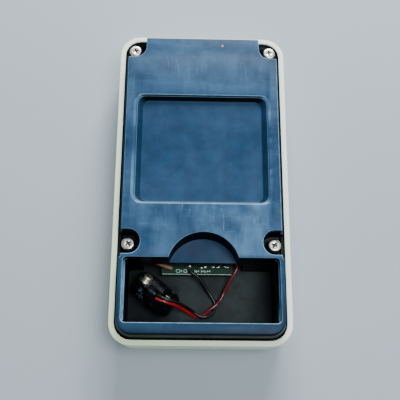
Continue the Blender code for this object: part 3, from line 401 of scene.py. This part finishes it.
def slate_plastic(name, worn_and_lit):
    """Dark slate cover: satin, dusty and scuffed, with painted shade and highlights. The worn
    kind is for its rubbed edges, with their painted highlight.
    """
    f = Finish(name, roughness=0.4, IOR=1.22)
    wear_and_highlight = cover_wear_and_highlight(f)
    dust = f.times(cover_dust(f), f.plus(f.times(wear_and_highlight, 0.75), 0.10), clamp=True)
    shade = f.mix(f.grade(f.noise(150.0, 4.0), 0.3, 0.7), SLATE_DARK, SLATE_LIGHT)
    # Painted shade: darker over the low end bar, where the light falls off.
    end_shade = f.times(f.below("Y", -0.056, -0.048), 0.55)
    shade = f.mix(end_shade, shade, SLATE_END_SHADE)
    shade = f.mix(dust, shade, SLATE_DUSTY)
    shade = scuffed(f, shade, wear_and_highlight)
    # Painted shade on the cover's inner walls.
    inner = f.grade(f.calc("ABSOLUTE", f.axis("X")), 0.0338, 0.0344, 1.0, 0.0)
    wall_shade = f.times(inner, f.facing((0.0, 0.0, 1.0), 0.55, 0.84, ends=(0.88, 0.0)))
    shade = f.mix(wall_shade, shade, SLATE_WALL_SHADE)
    # The edge kind gets rubbed wear and a painted highlight.
    if worn_and_lit:
        shade = rubbed_and_lit(f, shade)
    f.set("Base Color", in_painted_shade(f, shade))
    polish = f.grade(f.noise(90.0, 4.0), 0.3, 0.7, 0.36, 0.48)
    f.set("Roughness", f.plus(f.times(dust, 0.30), polish))
    f.relief(f.noise(3200.0, 2.0), 0.00002, 0.35)
    f.relief(f.noise(26.0, 2.0), 0.0004, 0.12)
    return f.material


def plated_metal(name, colour, roughness, tarnish):
    """Plated or tinned metal with tarnish in small clouds."""
    f = Finish(name, metallic=1.0)
    cloud = f.grade(f.noise(900.0, 4.0), 0.35, 0.7)
    dulled = tuple(c * 0.35 for c in colour)
    f.set("Base Color", f.mix(f.times(cloud, tarnish), colour, dulled))
    f.set("Roughness", f.plus(f.times(cloud, 0.18), roughness))
    f.relief(f.noise(4000.0, 2.0), 0.00001, 0.3)
    return f.material


def moulded(name, colour, roughness, vary=0.25, coat=0.0):
    """Moulded or printed plastic with a fine grain, uneven in colour and polish."""
    f = Finish(name, roughness=roughness, Coat_Weight=coat, Coat_Roughness=0.12)
    cloud = f.grade(f.noise(300.0, 3.0), 0.3, 0.7)
    paler = tuple(min(1.0, c * 2.2 + 0.002) for c in colour)
    f.set("Base Color", f.mix(f.times(cloud, vary), colour, paler))
    polish = f.grade(f.noise(500.0, 3.0), 0.3, 0.7, roughness * 0.85, roughness * 1.15)
    f.set("Roughness", polish)
    f.relief(f.noise(2400.0, 2.0), 0.00002, 0.4)
    return f.material


def board_laminate():
    """Green solder mask over a network of tracks that stand a little proud."""
    f = Finish("solder_mask", roughness=0.45, IOR=1.3)
    tracks = f.tree.nodes.new("ShaderNodeTexBrick")
    f.join(tracks.inputs["Vector"], f.place)
    tracks.inputs["Scale"].default_value = 260.0
    tracks.inputs["Mortar Size"].default_value = 0.06
    tracks.offset = 0.37
    line = tracks.outputs["Fac"]
    shade = f.mix(line, (0.0012, 0.0250, 0.0120), (0.0028, 0.0500, 0.0240))
    cloud = f.grade(f.noise(200.0, 3.0), 0.35, 0.7)
    f.set("Base Color", f.mix(f.times(cloud, 0.5), shade, (0.0010, 0.0110, 0.0075)))
    f.relief(line, 0.00004, 0.6)
    return f.material


def aerial_sleeve():
    """Tan sleeve that turns plum towards its left end, with painted shade underneath."""
    f = Finish("aerial_sleeve", roughness=0.5)
    along = f.above("X", -0.0245, -0.0150)
    shade = f.mix(along, (0.22, 0.060, 0.090), (0.28, 0.14, 0.085))
    # Painted shade on the sleeve's underside.
    under = f.times(f.below("Z", BOARD_TOP + 0.0006, BOARD_TOP + 0.0016), 0.6)
    f.set("Base Color", f.mix(under, shade, (0.10, 0.05, 0.03)))
    return f.material


def red_insulation():
    """Glossy red insulation, with painted shade darkening it towards the board on the right."""
    f = Finish("red_pvc", roughness=0.28, Coat_Weight=0.5, Coat_Roughness=0.12)
    # Painted shade: darker red towards the right, brighter towards the left.
    lit_left = f.below("X", -0.006, 0.006)
    shade = f.mix(lit_left, (0.150, 0.006, 0.014), (0.520, 0.010, 0.014))
    soot = f.grade(f.noise(300.0, 3.0), 0.5, 0.9)
    f.set("Base Color", f.mix(soot, shade, (0.06, 0.004, 0.008)))
    f.relief(f.noise(2400.0, 2.0), 0.00002, 0.3)
    return f.material


def snap_vinyl():
    """Glossy black vinyl, creased, with painted blue-grey highlights at two high spots."""
    f = Finish("snap_vinyl", roughness=0.26, Coat_Weight=0.5, Coat_Roughness=0.15)
    glint = f.grade(f.noise(210.0, 4.0, 0.6, start=(0.2, 0.7, 0.1)), 0.50, 0.62)
    glint_spots = f.calc("MAXIMUM", f.near(-0.0249, BAY_REAR - 0.0118, 0.0012, 0.0030),
                        f.near(-0.0158, BAY_REAR - 0.0200, 0.0008, 0.0024))
    glint = f.times(glint, f.grade(glint_spots, 0.0, 1.0, 0.12, 1.0))
    # Painted highlight: blue-grey glints on the black vinyl.
    f.set("Base Color", f.mix(glint, (0.0016, 0.0026, 0.0044), (0.110, 0.190, 0.290)))
    f.relief(f.noise(190.0, 3.0, 0.6, start=(0.4, 0.1, 0.9)), 0.0008, 0.55)
    return f.material


CREAM = cream_plastic()
SLATE = slate_plastic("slate_moulding", worn_and_lit=False)
SLATE_LIT_WORN_EDGE = slate_plastic("slate_lit_worn_edge", worn_and_lit=True)
SCREW_NICKEL = plated_metal("bright_nickel", (0.80, 0.78, 0.72), 0.22, 0.25)
DULL_NICKEL = plated_metal("dull_nickel", (0.55, 0.54, 0.50), 0.30, 0.5)
STUD_NICKEL = plated_metal("stud_nickel", (0.92, 0.88, 0.74), 0.34, 0.10)
DARK_STEEL = plated_metal("tarnished_steel", (0.10, 0.11, 0.12), 0.25, 0.5)
SOLDER = plated_metal("solder_tin", (0.72, 0.74, 0.76), 0.20, 0.2)
# Dark brown for grime in the screws' cross recesses, and painted shade in the nut's slots.
SLOT_GRIME_AND_SHADE = moulded("slot_grime_and_shade", (0.060, 0.050, 0.036), 0.7, vary=0.5)
RED_PVC = red_insulation()
BLACK_PVC = moulded("black_pvc", (0.0015, 0.0022, 0.0026), 0.42, vary=0.3, coat=0.12)
SNAP_VINYL = snap_vinyl()
BLACK_PLASTIC = moulded("black_plastic_part", (0.008, 0.008, 0.009), 0.45)
GREY_PLASTIC = moulded("grey_plastic_part", (0.07, 0.075, 0.08), 0.5)
RED_PLASTIC = moulded("red_button_plastic", (0.42, 0.015, 0.012), 0.35)
LENS_AMBER = moulded("amber_lens_plastic", (0.70, 0.28, 0.05), 0.15)
LAMP_WHITE = moulded("lamp_ceramic", (0.70, 0.68, 0.60), 0.5)
PLATE_FILM = moulded("printed_film", (0.030, 0.075, 0.115), 0.35, vary=0.15)
BOARD_GREEN = board_laminate()
BOARD_PRINT = moulded("board_print", (0.50, 0.74, 0.62), 0.6)
WHITE_PRINT = moulded("white_print", (0.75, 0.77, 0.75), 0.5)
AERIAL = aerial_sleeve()

NODE_FINISHES = {
    "faceplate": PLATE_FILM, "circuit_board": BOARD_GREEN, "radio_module_board": BOARD_GREEN,
    "radio_module_shield": DULL_NICKEL, "radio_module_header": BLACK_PLASTIC,
    "controller_chip": BLACK_PLASTIC, "crystal_can": SCREW_NICKEL,
    "trigger_thyristor": BLACK_PLASTIC, "voltage_regulator": BLACK_PLASTIC,
    "reservoir_capacitor": BLACK_PVC, "fire_button": RED_PLASTIC,
    "fire_switch_body": GREY_PLASTIC, "fire_switch_plunger": BLACK_PLASTIC,
    "channel_dial": BLACK_PLASTIC, "channel_switch_body": GREY_PLASTIC,
    "status_lens": LENS_AMBER, "status_lamp": LAMP_WHITE, "power_slider": BLACK_PLASTIC,
    "power_switch_body": DULL_NICKEL, "sync_socket_body": BLACK_PLASTIC,
    "sync_socket_nut": DULL_NICKEL, "red_solder_joint": SOLDER, "black_solder_joint": SOLDER,
}


def finish_nodes():
    for name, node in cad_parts.items():
        material = NODE_FINISHES.get(name, SCREW_NICKEL if "screw" in name else None)
        if material is not None:
            node.data.materials.clear()
            node.data.materials.append(material)


# --- Modelling steps that the pieces share ---
def pick_only(piece):
    bpy.ops.object.select_all(action="DESELECT")
    piece.select_set(True)
    bpy.context.view_layer.objects.active = piece


def keep_as(piece, name, body, slot, *nodes):
    """Name a finished piece, say what it rides on and which solids it stands for."""
    piece.name = name
    piece.data.name = name
    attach(piece, body)
    if nodes:
        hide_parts(*nodes)
    return piece


def settle(piece, matrix=None):
    """Put a piece's place into its mesh, so that its object sits at the origin."""
    if matrix is not None:
        piece.matrix_world = matrix @ piece.matrix_world
    pick_only(piece)
    bpy.context.view_layer.update()
    bpy.ops.object.transform_apply(location=True, rotation=True, scale=True)
    return piece


def apply_all(piece):
    pick_only(piece)
    for modifier in list(piece.modifiers):
        bpy.ops.object.modifier_apply(modifier=modifier.name)


def ease_edges(piece, width, segments=2, angle=30.0):
    bevel = piece.modifiers.new("eased_edges", "BEVEL")
    bevel.width = width
    bevel.segments = segments
    bevel.limit_method = "ANGLE"
    bevel.angle_limit = math.radians(angle)
    bevel.miter_outer = "MITER_ARC"
    apply_all(piece)


def ease_shell(piece, width, angle, narrow=None, narrow_share=1 / 6, level=0.00005):
    """Ease every sharp edge to the same width, and to a share of it at one narrow height."""
    bm = bmesh.new()
    bm.from_mesh(piece.data)
    weight = bm.edges.layers.float.new("bevel_weight_edge")
    for edge in bm.edges:
        if edge.calc_face_angle(0.0) > math.radians(angle):
            tight = narrow is not None and all(abs(v.co.z - narrow) < level for v in edge.verts)
            edge[weight] = narrow_share if tight else 1.0
    bm.to_mesh(piece.data)
    bm.free()
    bevel = piece.modifiers.new("eased_edges", "BEVEL")
    bevel.width = width
    bevel.segments = 3
    bevel.limit_method = "WEIGHT"
    bevel.use_clamp_overlap = False
    bevel.material = 1
    bevel.miter_outer = "MITER_ARC"
    apply_all(piece)


def smooth(piece, angle=35.0):
    pick_only(piece)
    bpy.ops.object.shade_smooth_by_angle(angle=math.radians(angle))


def joined(pieces):
    bpy.ops.object.select_all(action="DESELECT")
    for piece in pieces:
        piece.select_set(True)
    bpy.context.view_layer.objects.active = pieces[0]
    bpy.ops.object.join()
    return pieces[0]


def as_one(parts, material):
    """Join parts into one piece of one material."""
    piece = joined(parts)
    piece.data.materials.clear()
    piece.data.materials.append(material)
    return piece


def block(place, size, turn=0.0):
    """A cube shaped to its size, turned about Z by degrees and set at its place."""
    bpy.ops.object.select_all(action="DESELECT")
    bpy.ops.mesh.primitive_cube_add(size=1.0, location=place)
    piece = bpy.context.object
    piece.scale = size
    piece.rotation_euler = (0, 0, math.radians(turn))
    return settle(piece)


def cut_away(piece, tool):
    """Cut a tool's shape out of a piece and remove the tool."""
    cut = piece.modifiers.new("cut", "BOOLEAN")
    cut.operation = "DIFFERENCE"
    cut.solver = "EXACT"
    cut.object = tool
    apply_all(piece)
    bpy.data.objects.remove(tool)


# --- Leads ---
def smooth_route(points, steps=12):
    """The same Catmull-Rom curve through the points that the solids follow."""
    points = [Vector(p) for p in points]
    ends = [points[0] * 2 - points[1]] + points + [points[-1] * 2 - points[-2]]
    route = []
    for i in range(1, len(ends) - 2):
        a, b, c, d = ends[i - 1:i + 3]
        for s in range(steps):
            t = s / steps
            route.append(0.5 * (
                2 * b + (c - a) * t
                + (2 * a - 5 * b + 4 * c - d) * t ** 2
                + (3 * b - a - 3 * c + d) * t ** 3
            ))
    return route + [points[-1]]


def wire(name, points, diameter, material):
    """A round cord along a route, and the route's own points."""
    route = smooth_route(points)
    curve = bpy.data.curves.new(name, "CURVE")
    curve.dimensions = "3D"
    curve.bevel_depth = diameter / 2
    curve.bevel_resolution = 4
    curve.use_fill_caps = True
    spline = curve.splines.new("POLY")
    spline.points.add(len(route) - 1)
    for point, place in zip(spline.points, route):
        point.co = (*place, 1.0)
    curve.materials.append(material)
    piece = bpy.data.objects.new(name, curve)
    bpy.context.collection.objects.link(piece)
    return piece, route


def battery_leads():
    for colour, over_board, in_bay, material in (
            ("red", RED_OVER_BOARD, RED_IN_BAY, RED_PVC),
            ("black", BLACK_OVER_BOARD, BLACK_IN_BAY, BLACK_PVC)):
        points = [(x, BAY_REAR + y, BOARD_TOP + z) for x, y, z in over_board]
        points += [(x, BAY_REAR + y, FLOOR + z) for x, y, z in in_bay]
        piece, route = wire(colour + "_battery_lead", points, LEAD_DIAMETER, material)
        keep_as(piece, piece.name, "root", colour + "_insulation", colour + "_lead")


def aerial():
    piece, _ = wire("aerial_wire", AERIAL_ROUTE, AERIAL_DIAMETER, AERIAL)
    keep_as(piece, "aerial_wire", "root", "tan_insulation", "antenna_lead")


# --- Shells ---
SHELL_EDGE = 0.00030


def shell_copy(name, node, body_material, edge_material, narrow=None):
    """The CAD shell with its triangles merged and every sharp edge eased."""
    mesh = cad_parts[node].data.copy()
    piece = bpy.data.objects.new(name, mesh)
    bpy.context.collection.objects.link(piece)
    mesh.materials.clear()
    mesh.materials.append(body_material)
    mesh.materials.append(edge_material)
    for face in mesh.polygons:
        face.material_index = 0
    pick_only(piece)
    bpy.ops.object.mode_set(mode="EDIT")
    bpy.ops.mesh.select_all(action="SELECT")
    bpy.ops.mesh.remove_doubles(threshold=0.000002)
    bpy.ops.mesh.dissolve_limited(angle_limit=math.radians(0.4))
    bpy.ops.object.mode_set(mode="OBJECT")
    ease_shell(piece, SHELL_EDGE, 32.0, narrow)
    smooth(piece, 30.0)
    store_face_turns(piece)
    return piece


def store_face_turns(piece):
    """Keep each face's normal, so that the finish can tell walls from tops."""
    turns = [tuple(face.normal) for face in piece.data.polygons]
    stored = piece.data.attributes.new("face_turn", "FLOAT_VECTOR", "FACE")
    for entry, turn in zip(stored.data, turns):
        entry.vector = turn


def casing_shell():
    piece = shell_copy("casing_moulding", "front_casing", CREAM, CREAM)
    keep_as(piece, "casing_moulding", "root", "cream_casing", "front_casing")


def cover_shell():
    piece = shell_copy("cover_moulding", "rear_cover", SLATE, SLATE_LIT_WORN_EDGE, narrow=LABEL_LEDGE)
    keep_as(piece, "cover_moulding", "root", "slate_cover", "rear_cover")


# --- Cover screws ---
CROSS_ARM = (0.0032, 0.00085, 0.0024)
CROSS_TAPER = 0.62
CROSS_REACH = 0.00165
DOME_EDGE = 0.00105
SCREW_TURNS = {
    "upper_left": 22.0, "upper_right": 8.0, "lower_left": 38.0, "lower_right": 61.0,
}


def round_dome(head):
    dome = head.modifiers.new("dome", "BEVEL")
    dome.limit_method = "ANGLE"
    dome.angle_limit = math.radians(60)
    dome.width = DOME_EDGE
    dome.segments = 6
    dome.profile = 0.62
    apply_all(head)


def cut_cross(head):
    """Cut two tapered arms into the top, crossing in the middle."""
    for turn in (0.0, 90.0):
        arm = block((0, 0, SCREW_HEAD_HEIGHT), CROSS_ARM, turn)
        for vertex in arm.data.vertices:
            if vertex.co.z < SCREW_HEAD_HEIGHT:
                vertex.co.x *= CROSS_TAPER
                vertex.co.y *= CROSS_TAPER
        arm.data.materials.append(SLOT_GRIME_AND_SHADE)
        cut_away(head, arm)


def line_cross(head):
    """Nickel outside, grime on the cross recess's own walls and floor."""
    head.data.materials.clear()
    head.data.materials.append(SCREW_NICKEL)
    head.data.materials.append(SLOT_GRIME_AND_SHADE)
    for face in head.data.polygons:
        middle = face.center
        under_top = 0.0002 < middle.z < SCREW_HEAD_HEIGHT - 0.00003
        in_cross = under_top and math.hypot(middle.x, middle.y) < CROSS_REACH
        face.material_index = 1 if in_cross else 0


def screw_head():
    """A domed pan head with a cross recess, at the origin, its seat at height 0."""
    bpy.ops.object.select_all(action="DESELECT")
    bpy.ops.mesh.primitive_cylinder_add(vertices=48, radius=SCREW_HEAD_RADIUS,
                                        depth=SCREW_HEAD_HEIGHT,
                                        location=(0, 0, SCREW_HEAD_HEIGHT / 2))
    head = settle(bpy.context.object)
    round_dome(head)
    cut_cross(head)
    line_cross(head)
    ease_edges(head, 0.00006, segments=2, angle=40.0)
    smooth(head, 40.0)
    return head


def cover_screws():
    head = screw_head()
    for name, turn in SCREW_TURNS.items():
        low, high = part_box("cover_screw_" + name)
        middle = (low + high) / 2
        copy = head.copy()
        copy.data = head.data.copy()
        bpy.context.collection.objects.link(copy)
        place = Matrix.Translation((middle.x, middle.y, high.z - SCREW_HEAD_HEIGHT))
        settle(copy, place @ Matrix.Rotation(math.radians(turn), 4, "Z"))
        keep_as(copy, "cover_screw_head_" + name, "root", "screw_nickel", "cover_screw_" + name)
    bpy.data.objects.remove(head)


# --- What shows of the circuit board through the bay ---
PRINT_HEIGHT = 0.00006
PRINT_LINE = 0.00022
PIN_WIDTH = 0.0010
PIN_HEIGHT = 0.0009
PAD_SIZE = (0.0016, 0.0014, 0.0005)
CLINCHED_PINS = (
    (-0.0046, 0.0010, 0.0020, 68), (0.0004, 0.0004, 0.0016, 15),
    (0.0022, 0.0008, 0.0023, 42), (0.0056, 0.0008, 0.0021, -18),
    (0.0080, 0.0009, 0.0024, 44), (0.0109, 0.0011, 0.0013, 70),
    (0.0121, 0.0008, 0.0013, -35),
)
OUTLINES = ((-0.0098, 0.0016), (-0.0066, 0.0012))
PLUS_SIGNS = (-0.0083, 0.0041)
TICKS = (
    (-0.0024, 0.0009), (-0.0017, 0.0012), (-0.0010, 0.0007), (0.0004, 0.0011),
    (0.0012, 0.0008), (0.0020, 0.0012), (0.0030, 0.0009),
)


def solder_bead(x, y, size, turn=0):
    """A rounded bead, a quarter of its height above the board's top."""
    bpy.ops.object.select_all(action="DESELECT")
    bpy.ops.mesh.primitive_uv_sphere_add(segments=20, ring_count=12, radius=0.5,
                                         location=(x, BAY_REAR + y, BOARD_TOP + size[2] * 0.25))
    bead = bpy.context.object
    bead.scale = size
    bead.rotation_euler = (0, 0, math.radians(turn))
    return settle(bead)


def board_joints():
    """A row of hand-soldered pins with clinched wires along the board's edge."""
    beads = []
    for x, y, length, turn in CLINCHED_PINS:
        beads.append(solder_bead(x, y, (length, PIN_WIDTH, PIN_HEIGHT), turn))
        beads.append(solder_bead(x, y, PAD_SIZE))
    piece = as_one(beads, SOLDER)
    smooth(piece, 60.0)
    keep_as(piece, "board_edge_joints", "root", "solder")


def stroke(x, y, z, length, width, turn=0.0):
    """A printed line, as thick as the ink."""
    return block((x, y, z), (length, width, PRINT_HEIGHT), turn)


def outline(x, y, z, long, tall=0.00140, gap=0.00062):
    """A printed rectangle for a part's place."""
    sides = [stroke(x, y + side, z, long, PRINT_LINE) for side in (-gap, gap)]
    ends = [stroke(x + end * long, y, z, PRINT_LINE, tall) for end in (-0.5, 0.5)]
    return sides + ends


def plus_sign(x, y, z, reach=0.0010):
    return [stroke(x, y, z, reach, PRINT_LINE), stroke(x, y, z, PRINT_LINE, reach)]


def tick(x, y, z, tall):
    """An index tick with a short arm to its right."""
    return [stroke(x, y - 0.0001, z, PRINT_LINE, tall),
            stroke(x + 0.0003, y + 0.00025 - tall / 3, z, 0.0005, PRINT_LINE)]


def board_marks():
    """Printed outlines, polarity signs and index ticks: no lettering."""
    y, z = BAY_REAR - 0.00115, BOARD_TOP
    strokes = []
    for x, long in OUTLINES:
        strokes += outline(x, y, z, long)
    for x in PLUS_SIGNS:
        strokes += plus_sign(x, y, z)
    for x, tall in TICKS:
        strokes += tick(x, y, z, tall)
    strokes.append(stroke(BOARD_LEFT / 2 + BOARD_RIGHT / 2, BOARD_LOW + 0.00022, z,
                          BOARD_RIGHT - BOARD_LEFT - 0.0006, 0.00018))
    piece = as_one(strokes, BOARD_PRINT)
    keep_as(piece, "board_printed_marks", "root", "board_laminate")


# --- Front and end details ---
FRONT_LINE = 0.00035
DIAL_TICKS = 10
DIAL_TICK_RADIUS = 0.0052
BUTTON_RING_RADIUS = 0.0083
BUTTON_RING_STEPS = 60
SIDE_LINE_X = 0.0240
SIDE_LINE_LENGTH = 0.0900


def ring_of_strokes(count, radius, middle_y, z, length, width):
    """Strokes at even turns round a point on the unit's middle line."""
    strokes = []
    for step in range(count):
        turn = 360.0 / count * step
        angle = math.radians(turn)
        strokes.append(stroke(radius * math.sin(angle), middle_y + radius * math.cos(angle), z,
                              length, width, -turn))
    return strokes


def middle_of(node):
    low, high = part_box(node)
    return (low + high) / 2


def plate_print():
    """Plain printed rings and index ticks on the front plate: no lettering."""
    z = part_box("faceplate")[0].z
    dial_y = middle_of("channel_dial").y
    button_y = middle_of("fire_button").y
    strokes = ring_of_strokes(DIAL_TICKS, DIAL_TICK_RADIUS, dial_y, z, FRONT_LINE, 0.0012)
    strokes += ring_of_strokes(BUTTON_RING_STEPS, BUTTON_RING_RADIUS, button_y, z,
                               0.00088, FRONT_LINE)
    for side in (-1, 1):
        strokes.append(stroke(side * SIDE_LINE_X, (dial_y + button_y) / 2, z,
                              FRONT_LINE, SIDE_LINE_LENGTH))
    piece = as_one(strokes, WHITE_PRINT)
    keep_as(piece, "front_plate_print", "root", "faceplate")


def dial_pointer():
    """A printed mark at the dial's edge, which turns with it."""
    low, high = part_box("channel_dial")
    piece = stroke(middle_of("channel_dial").x, high.y - 0.00045, low.z, 0.0004, 0.0006)
    piece.data.materials.append(WHITE_PRINT)
    keep_as(piece, "channel_dial_pointer", "channel_dial_body", "black_plastic")


def slider_ridges(pitch=0.0011):
    """Three finger ridges across the power slider's outer face."""
    low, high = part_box("power_slider")
    middle = middle_of("power_slider")
    ridges = []
    for step in (-1, 0, 1):
        place = (middle.x + step * pitch, high.y + 0.00005, middle.z)
        ridge = block(place, (0.00045, 0.0006, high.z - low.z - 0.0006))
        ease_edges(ridge, 0.00015)
        ridges.append(ridge)
    piece = as_one(ridges, BLACK_PLASTIC)
    smooth(piece)
    keep_as(piece, "power_slider_ridges", "power_slider_body", "black_plastic")


def nut_slots(radius=0.0037):
    """Two spanner slots in the socket's ring nut, drawn as thin dark blocks: painted shade in
    place of cut slots.
    """
    middle = middle_of("sync_socket_nut")
    face_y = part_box("sync_socket_nut")[1].y
    slots = [block((middle.x + side * radius, face_y, middle.z), (0.0010, 0.00006, 0.0007))
             for side in (-1, 1)]
    piece = as_one(slots, SLOT_GRIME_AND_SHADE)
    keep_as(piece, "socket_nut_slots", "root", "nickel_plate")


# --- Battery snap ---
SNAP_SIZE = (0.0210, 0.0118, 0.0034)
SNAP_MID_HEIGHT = -0.0017
SNAP_CORNER = 0.0050
WELT_WIDTHS = (0.0008, 0.0004)
WELT_DEPTH = 0.0007
BACK_WIDTHS = (0.0012,)
BACK_DEPTH = 0.0004
CLIP_SLOT = (0.0090, 0.0006, 0.0030)
CLIP_SLOT_MIDDLE = (0, 0, 0.0028)
SLEEVE_LUMPS = (
    ((-0.0006, 0.0000, 0.0004), (0.0054, 0.0030, 0.0054)),
    ((-0.0006, 0.0022, 0.0012), (0.0046, 0.0030, 0.0022)),
)
GRIP_RIBS = (-0.0085, -0.0040, 0.0040, 0.0085)
STUD_PROFILE = (
    (0.0, 0.0034), (0.0011, 0.0034), (0.0017, 0.00325), (0.0021, 0.0028), (0.0022, 0.0023),
    (0.0019, 0.0018), (0.0018, 0.0006), (0.0026, 0.0004), (0.0026, 0.0001), (0.0, 0.0001),
)
CLIP_PROFILE = (
    (0.0026, 0.0034), (0.0030, 0.0034), (0.0035, 0.0031), (0.0034, 0.0018), (0.0031, 0.0010),
    (0.0032, 0.0001), (0.0, 0.0001), (0.0, 0.0006), (0.0022, 0.0006), (0.0023, 0.0018),
    (0.0024, 0.0030), (0.0026, 0.0034),
)


def round_corners(body, width):
    """Round the four upright corners of a slab."""
    bpy.ops.object.mode_set(mode="EDIT")
    bpy.ops.mesh.select_all(action="DESELECT")
    bpy.ops.object.mode_set(mode="OBJECT")
    for edge in body.data.edges:
        a, b = (body.data.vertices[i].co for i in edge.vertices)
        edge.select = abs(a.z - b.z) > 0.001
    bpy.ops.object.mode_set(mode="EDIT")
    bpy.ops.mesh.select_mode(type="EDGE")
    bpy.ops.mesh.bevel(offset=width, segments=8, affect="EDGES")
    bpy.ops.mesh.select_all(action="DESELECT")
    bpy.ops.object.mode_set(mode="OBJECT")


def inset_faces(body, side, widths, lift):
    """Inset the slab's top (side 1) or bottom (side -1) in steps and move what is left."""
    for face in body.data.polygons:
        face.select = face.normal.z * side > 0.9
    bpy.ops.object.mode_set(mode="EDIT")
    bpy.ops.mesh.select_mode(type="FACE")
    for width in widths:
        bpy.ops.mesh.inset(thickness=width)
    bpy.ops.transform.translate(value=(0, 0, lift))
    bpy.ops.object.mode_set(mode="OBJECT")


def snap_slab():
    """The moulding's flat part, with a welt round its terminal face."""
    body = block((0, SNAP_MIDDLE, SNAP_MID_HEIGHT), SNAP_SIZE)
    round_corners(body, SNAP_CORNER)
    inset_faces(body, 1, WELT_WIDTHS, -WELT_DEPTH)
    inset_faces(body, -1, BACK_WIDTHS, BACK_DEPTH)
    ease_edges(body, 0.00035, segments=3)
    return body


def sleeve_lump(place, size):
    lump = block(place, size)
    ease_edges(lump, min(size) * 0.32, segments=5)
    return lump


def grip_rib(x):
    bpy.ops.object.select_all(action="DESELECT")
    bpy.ops.mesh.primitive_cylinder_add(vertices=16, radius=0.00042, depth=0.0030,
                                        location=(x, 0.0002, SNAP_MID_HEIGHT))
    rib = settle(bpy.context.object)
    ease_edges(rib, 0.00015, angle=50.0)
    return rib


def snap_body():
    """Soft vinyl moulding: its slab, the sleeve for the leads and four grip ribs."""
    parts = [snap_slab()]
    parts += [sleeve_lump(place, size) for place, size in SLEEVE_LUMPS]
    parts += [grip_rib(x) for x in GRIP_RIBS]
    piece = as_one(parts, SNAP_VINYL)
    settle(piece, SNAP_PLACE)
    smooth(piece, 40.0)
    keep_as(piece, "snap_body_moulding", "root", "snap_body", "battery_snap")


def spun(profile, steps=40):
    """Turn (radius, height) points about Z into a closed shape."""
    mesh = bpy.data.meshes.new("turned")
    mesh.from_pydata([(r, 0.0, z) for r, z in profile],
                     [(i, i + 1) for i in range(len(profile) - 1)], [])
    piece = bpy.data.objects.new("turned", mesh)
    bpy.context.collection.objects.link(piece)
    screw = piece.modifiers.new("spin", "SCREW")
    screw.axis = "Z"
    screw.steps = steps
    screw.render_steps = steps
    screw.use_merge_vertices = True
    screw.merge_threshold = 0.000001
    apply_all(piece)
    bpy.ops.object.mode_set(mode="EDIT")
    bpy.ops.mesh.select_all(action="SELECT")
    bpy.ops.mesh.remove_doubles(threshold=0.000001)
    bpy.ops.mesh.normals_make_consistent(inside=False)
    bpy.ops.object.mode_set(mode="OBJECT")
    return piece


def keep_terminal(piece, side, material, name, node):
    """Give a terminal its plating and set it on its side of the snap."""
    piece.data.materials.clear()
    piece.data.materials.append(material)
    settle(piece, SNAP_PLACE @ Matrix.Translation((side * SNAP_HALF_PITCH, SNAP_MIDDLE, 0)))
    smooth(piece)
    keep_as(piece, name, "root", "nickel_plate", node)


def snap_terminals():
    """The stud that enters the battery's socket, and the split clip that grips its stud."""
    stud = spun(STUD_PROFILE)
    keep_terminal(stud, -1, STUD_NICKEL, "snap_stud_terminal", "snap_stud")
    clip = spun(CLIP_PROFILE)
    for turn in range(0, 180, 60):
        cut_away(clip, block(CLIP_SLOT_MIDDLE, CLIP_SLOT, turn))
    keep_terminal(clip, 1, DARK_STEEL, "snap_clip_terminal", "snap_clip")


# --- Floor and light ---
AREA_LIGHTS = (
    ("key_light", (0.10, 0.70, 0.42), 0.45, 13.0, (1.0, 0.99, 0.97)),
    ("side_light", (0.24, -0.14, 0.92), 0.40, 6.0, (0.95, 0.98, 1.0)),
)


def studio_floor():
    bpy.ops.object.select_all(action="DESELECT")
    bpy.ops.mesh.primitive_plane_add(size=6.0, location=(0.0, 0.0, 0.0))
    floor = bpy.context.object
    floor.name = "studio_floor"
    f = Finish("studio_paper", roughness=0.9)
    f.set("Base Color", f.mix(f.noise(3.0), (0.36, 0.42, 0.47), (0.39, 0.45, 0.50)))
    floor.data.materials.append(f.material)


def area_light(name, location, size, power, tint):
    """A soft square lamp that points at the origin."""
    data = bpy.data.lights.new(name, "AREA")
    data.size = size
    data.energy = power
    data.color = tint
    light = bpy.data.objects.new(name, data)
    bpy.context.collection.objects.link(light)
    light.location = location
    light.rotation_mode = "QUATERNION"
    light.rotation_quaternion = (-Vector(location)).to_track_quat("-Z", "Y")


def studio():
    studio_floor()
    for light in AREA_LIGHTS:
        area_light(*light)
    world = bpy.data.worlds.new("studio_air")
    world.use_nodes = True
    air = world.node_tree.nodes["Background"]
    air.inputs["Color"].default_value = (0.88, 0.94, 1.0, 1.0)
    air.inputs["Strength"].default_value = 0.35
    bpy.context.scene.world = world


# --- The whole unit, piece by piece ---
set_camera()
finish_nodes()
casing_shell()
cover_shell()
snap_body()
snap_terminals()
battery_leads()
aerial()
cover_screws()
board_joints()
board_marks()
plate_print()
dial_pointer()
slider_ridges()
nut_slots()
studio()
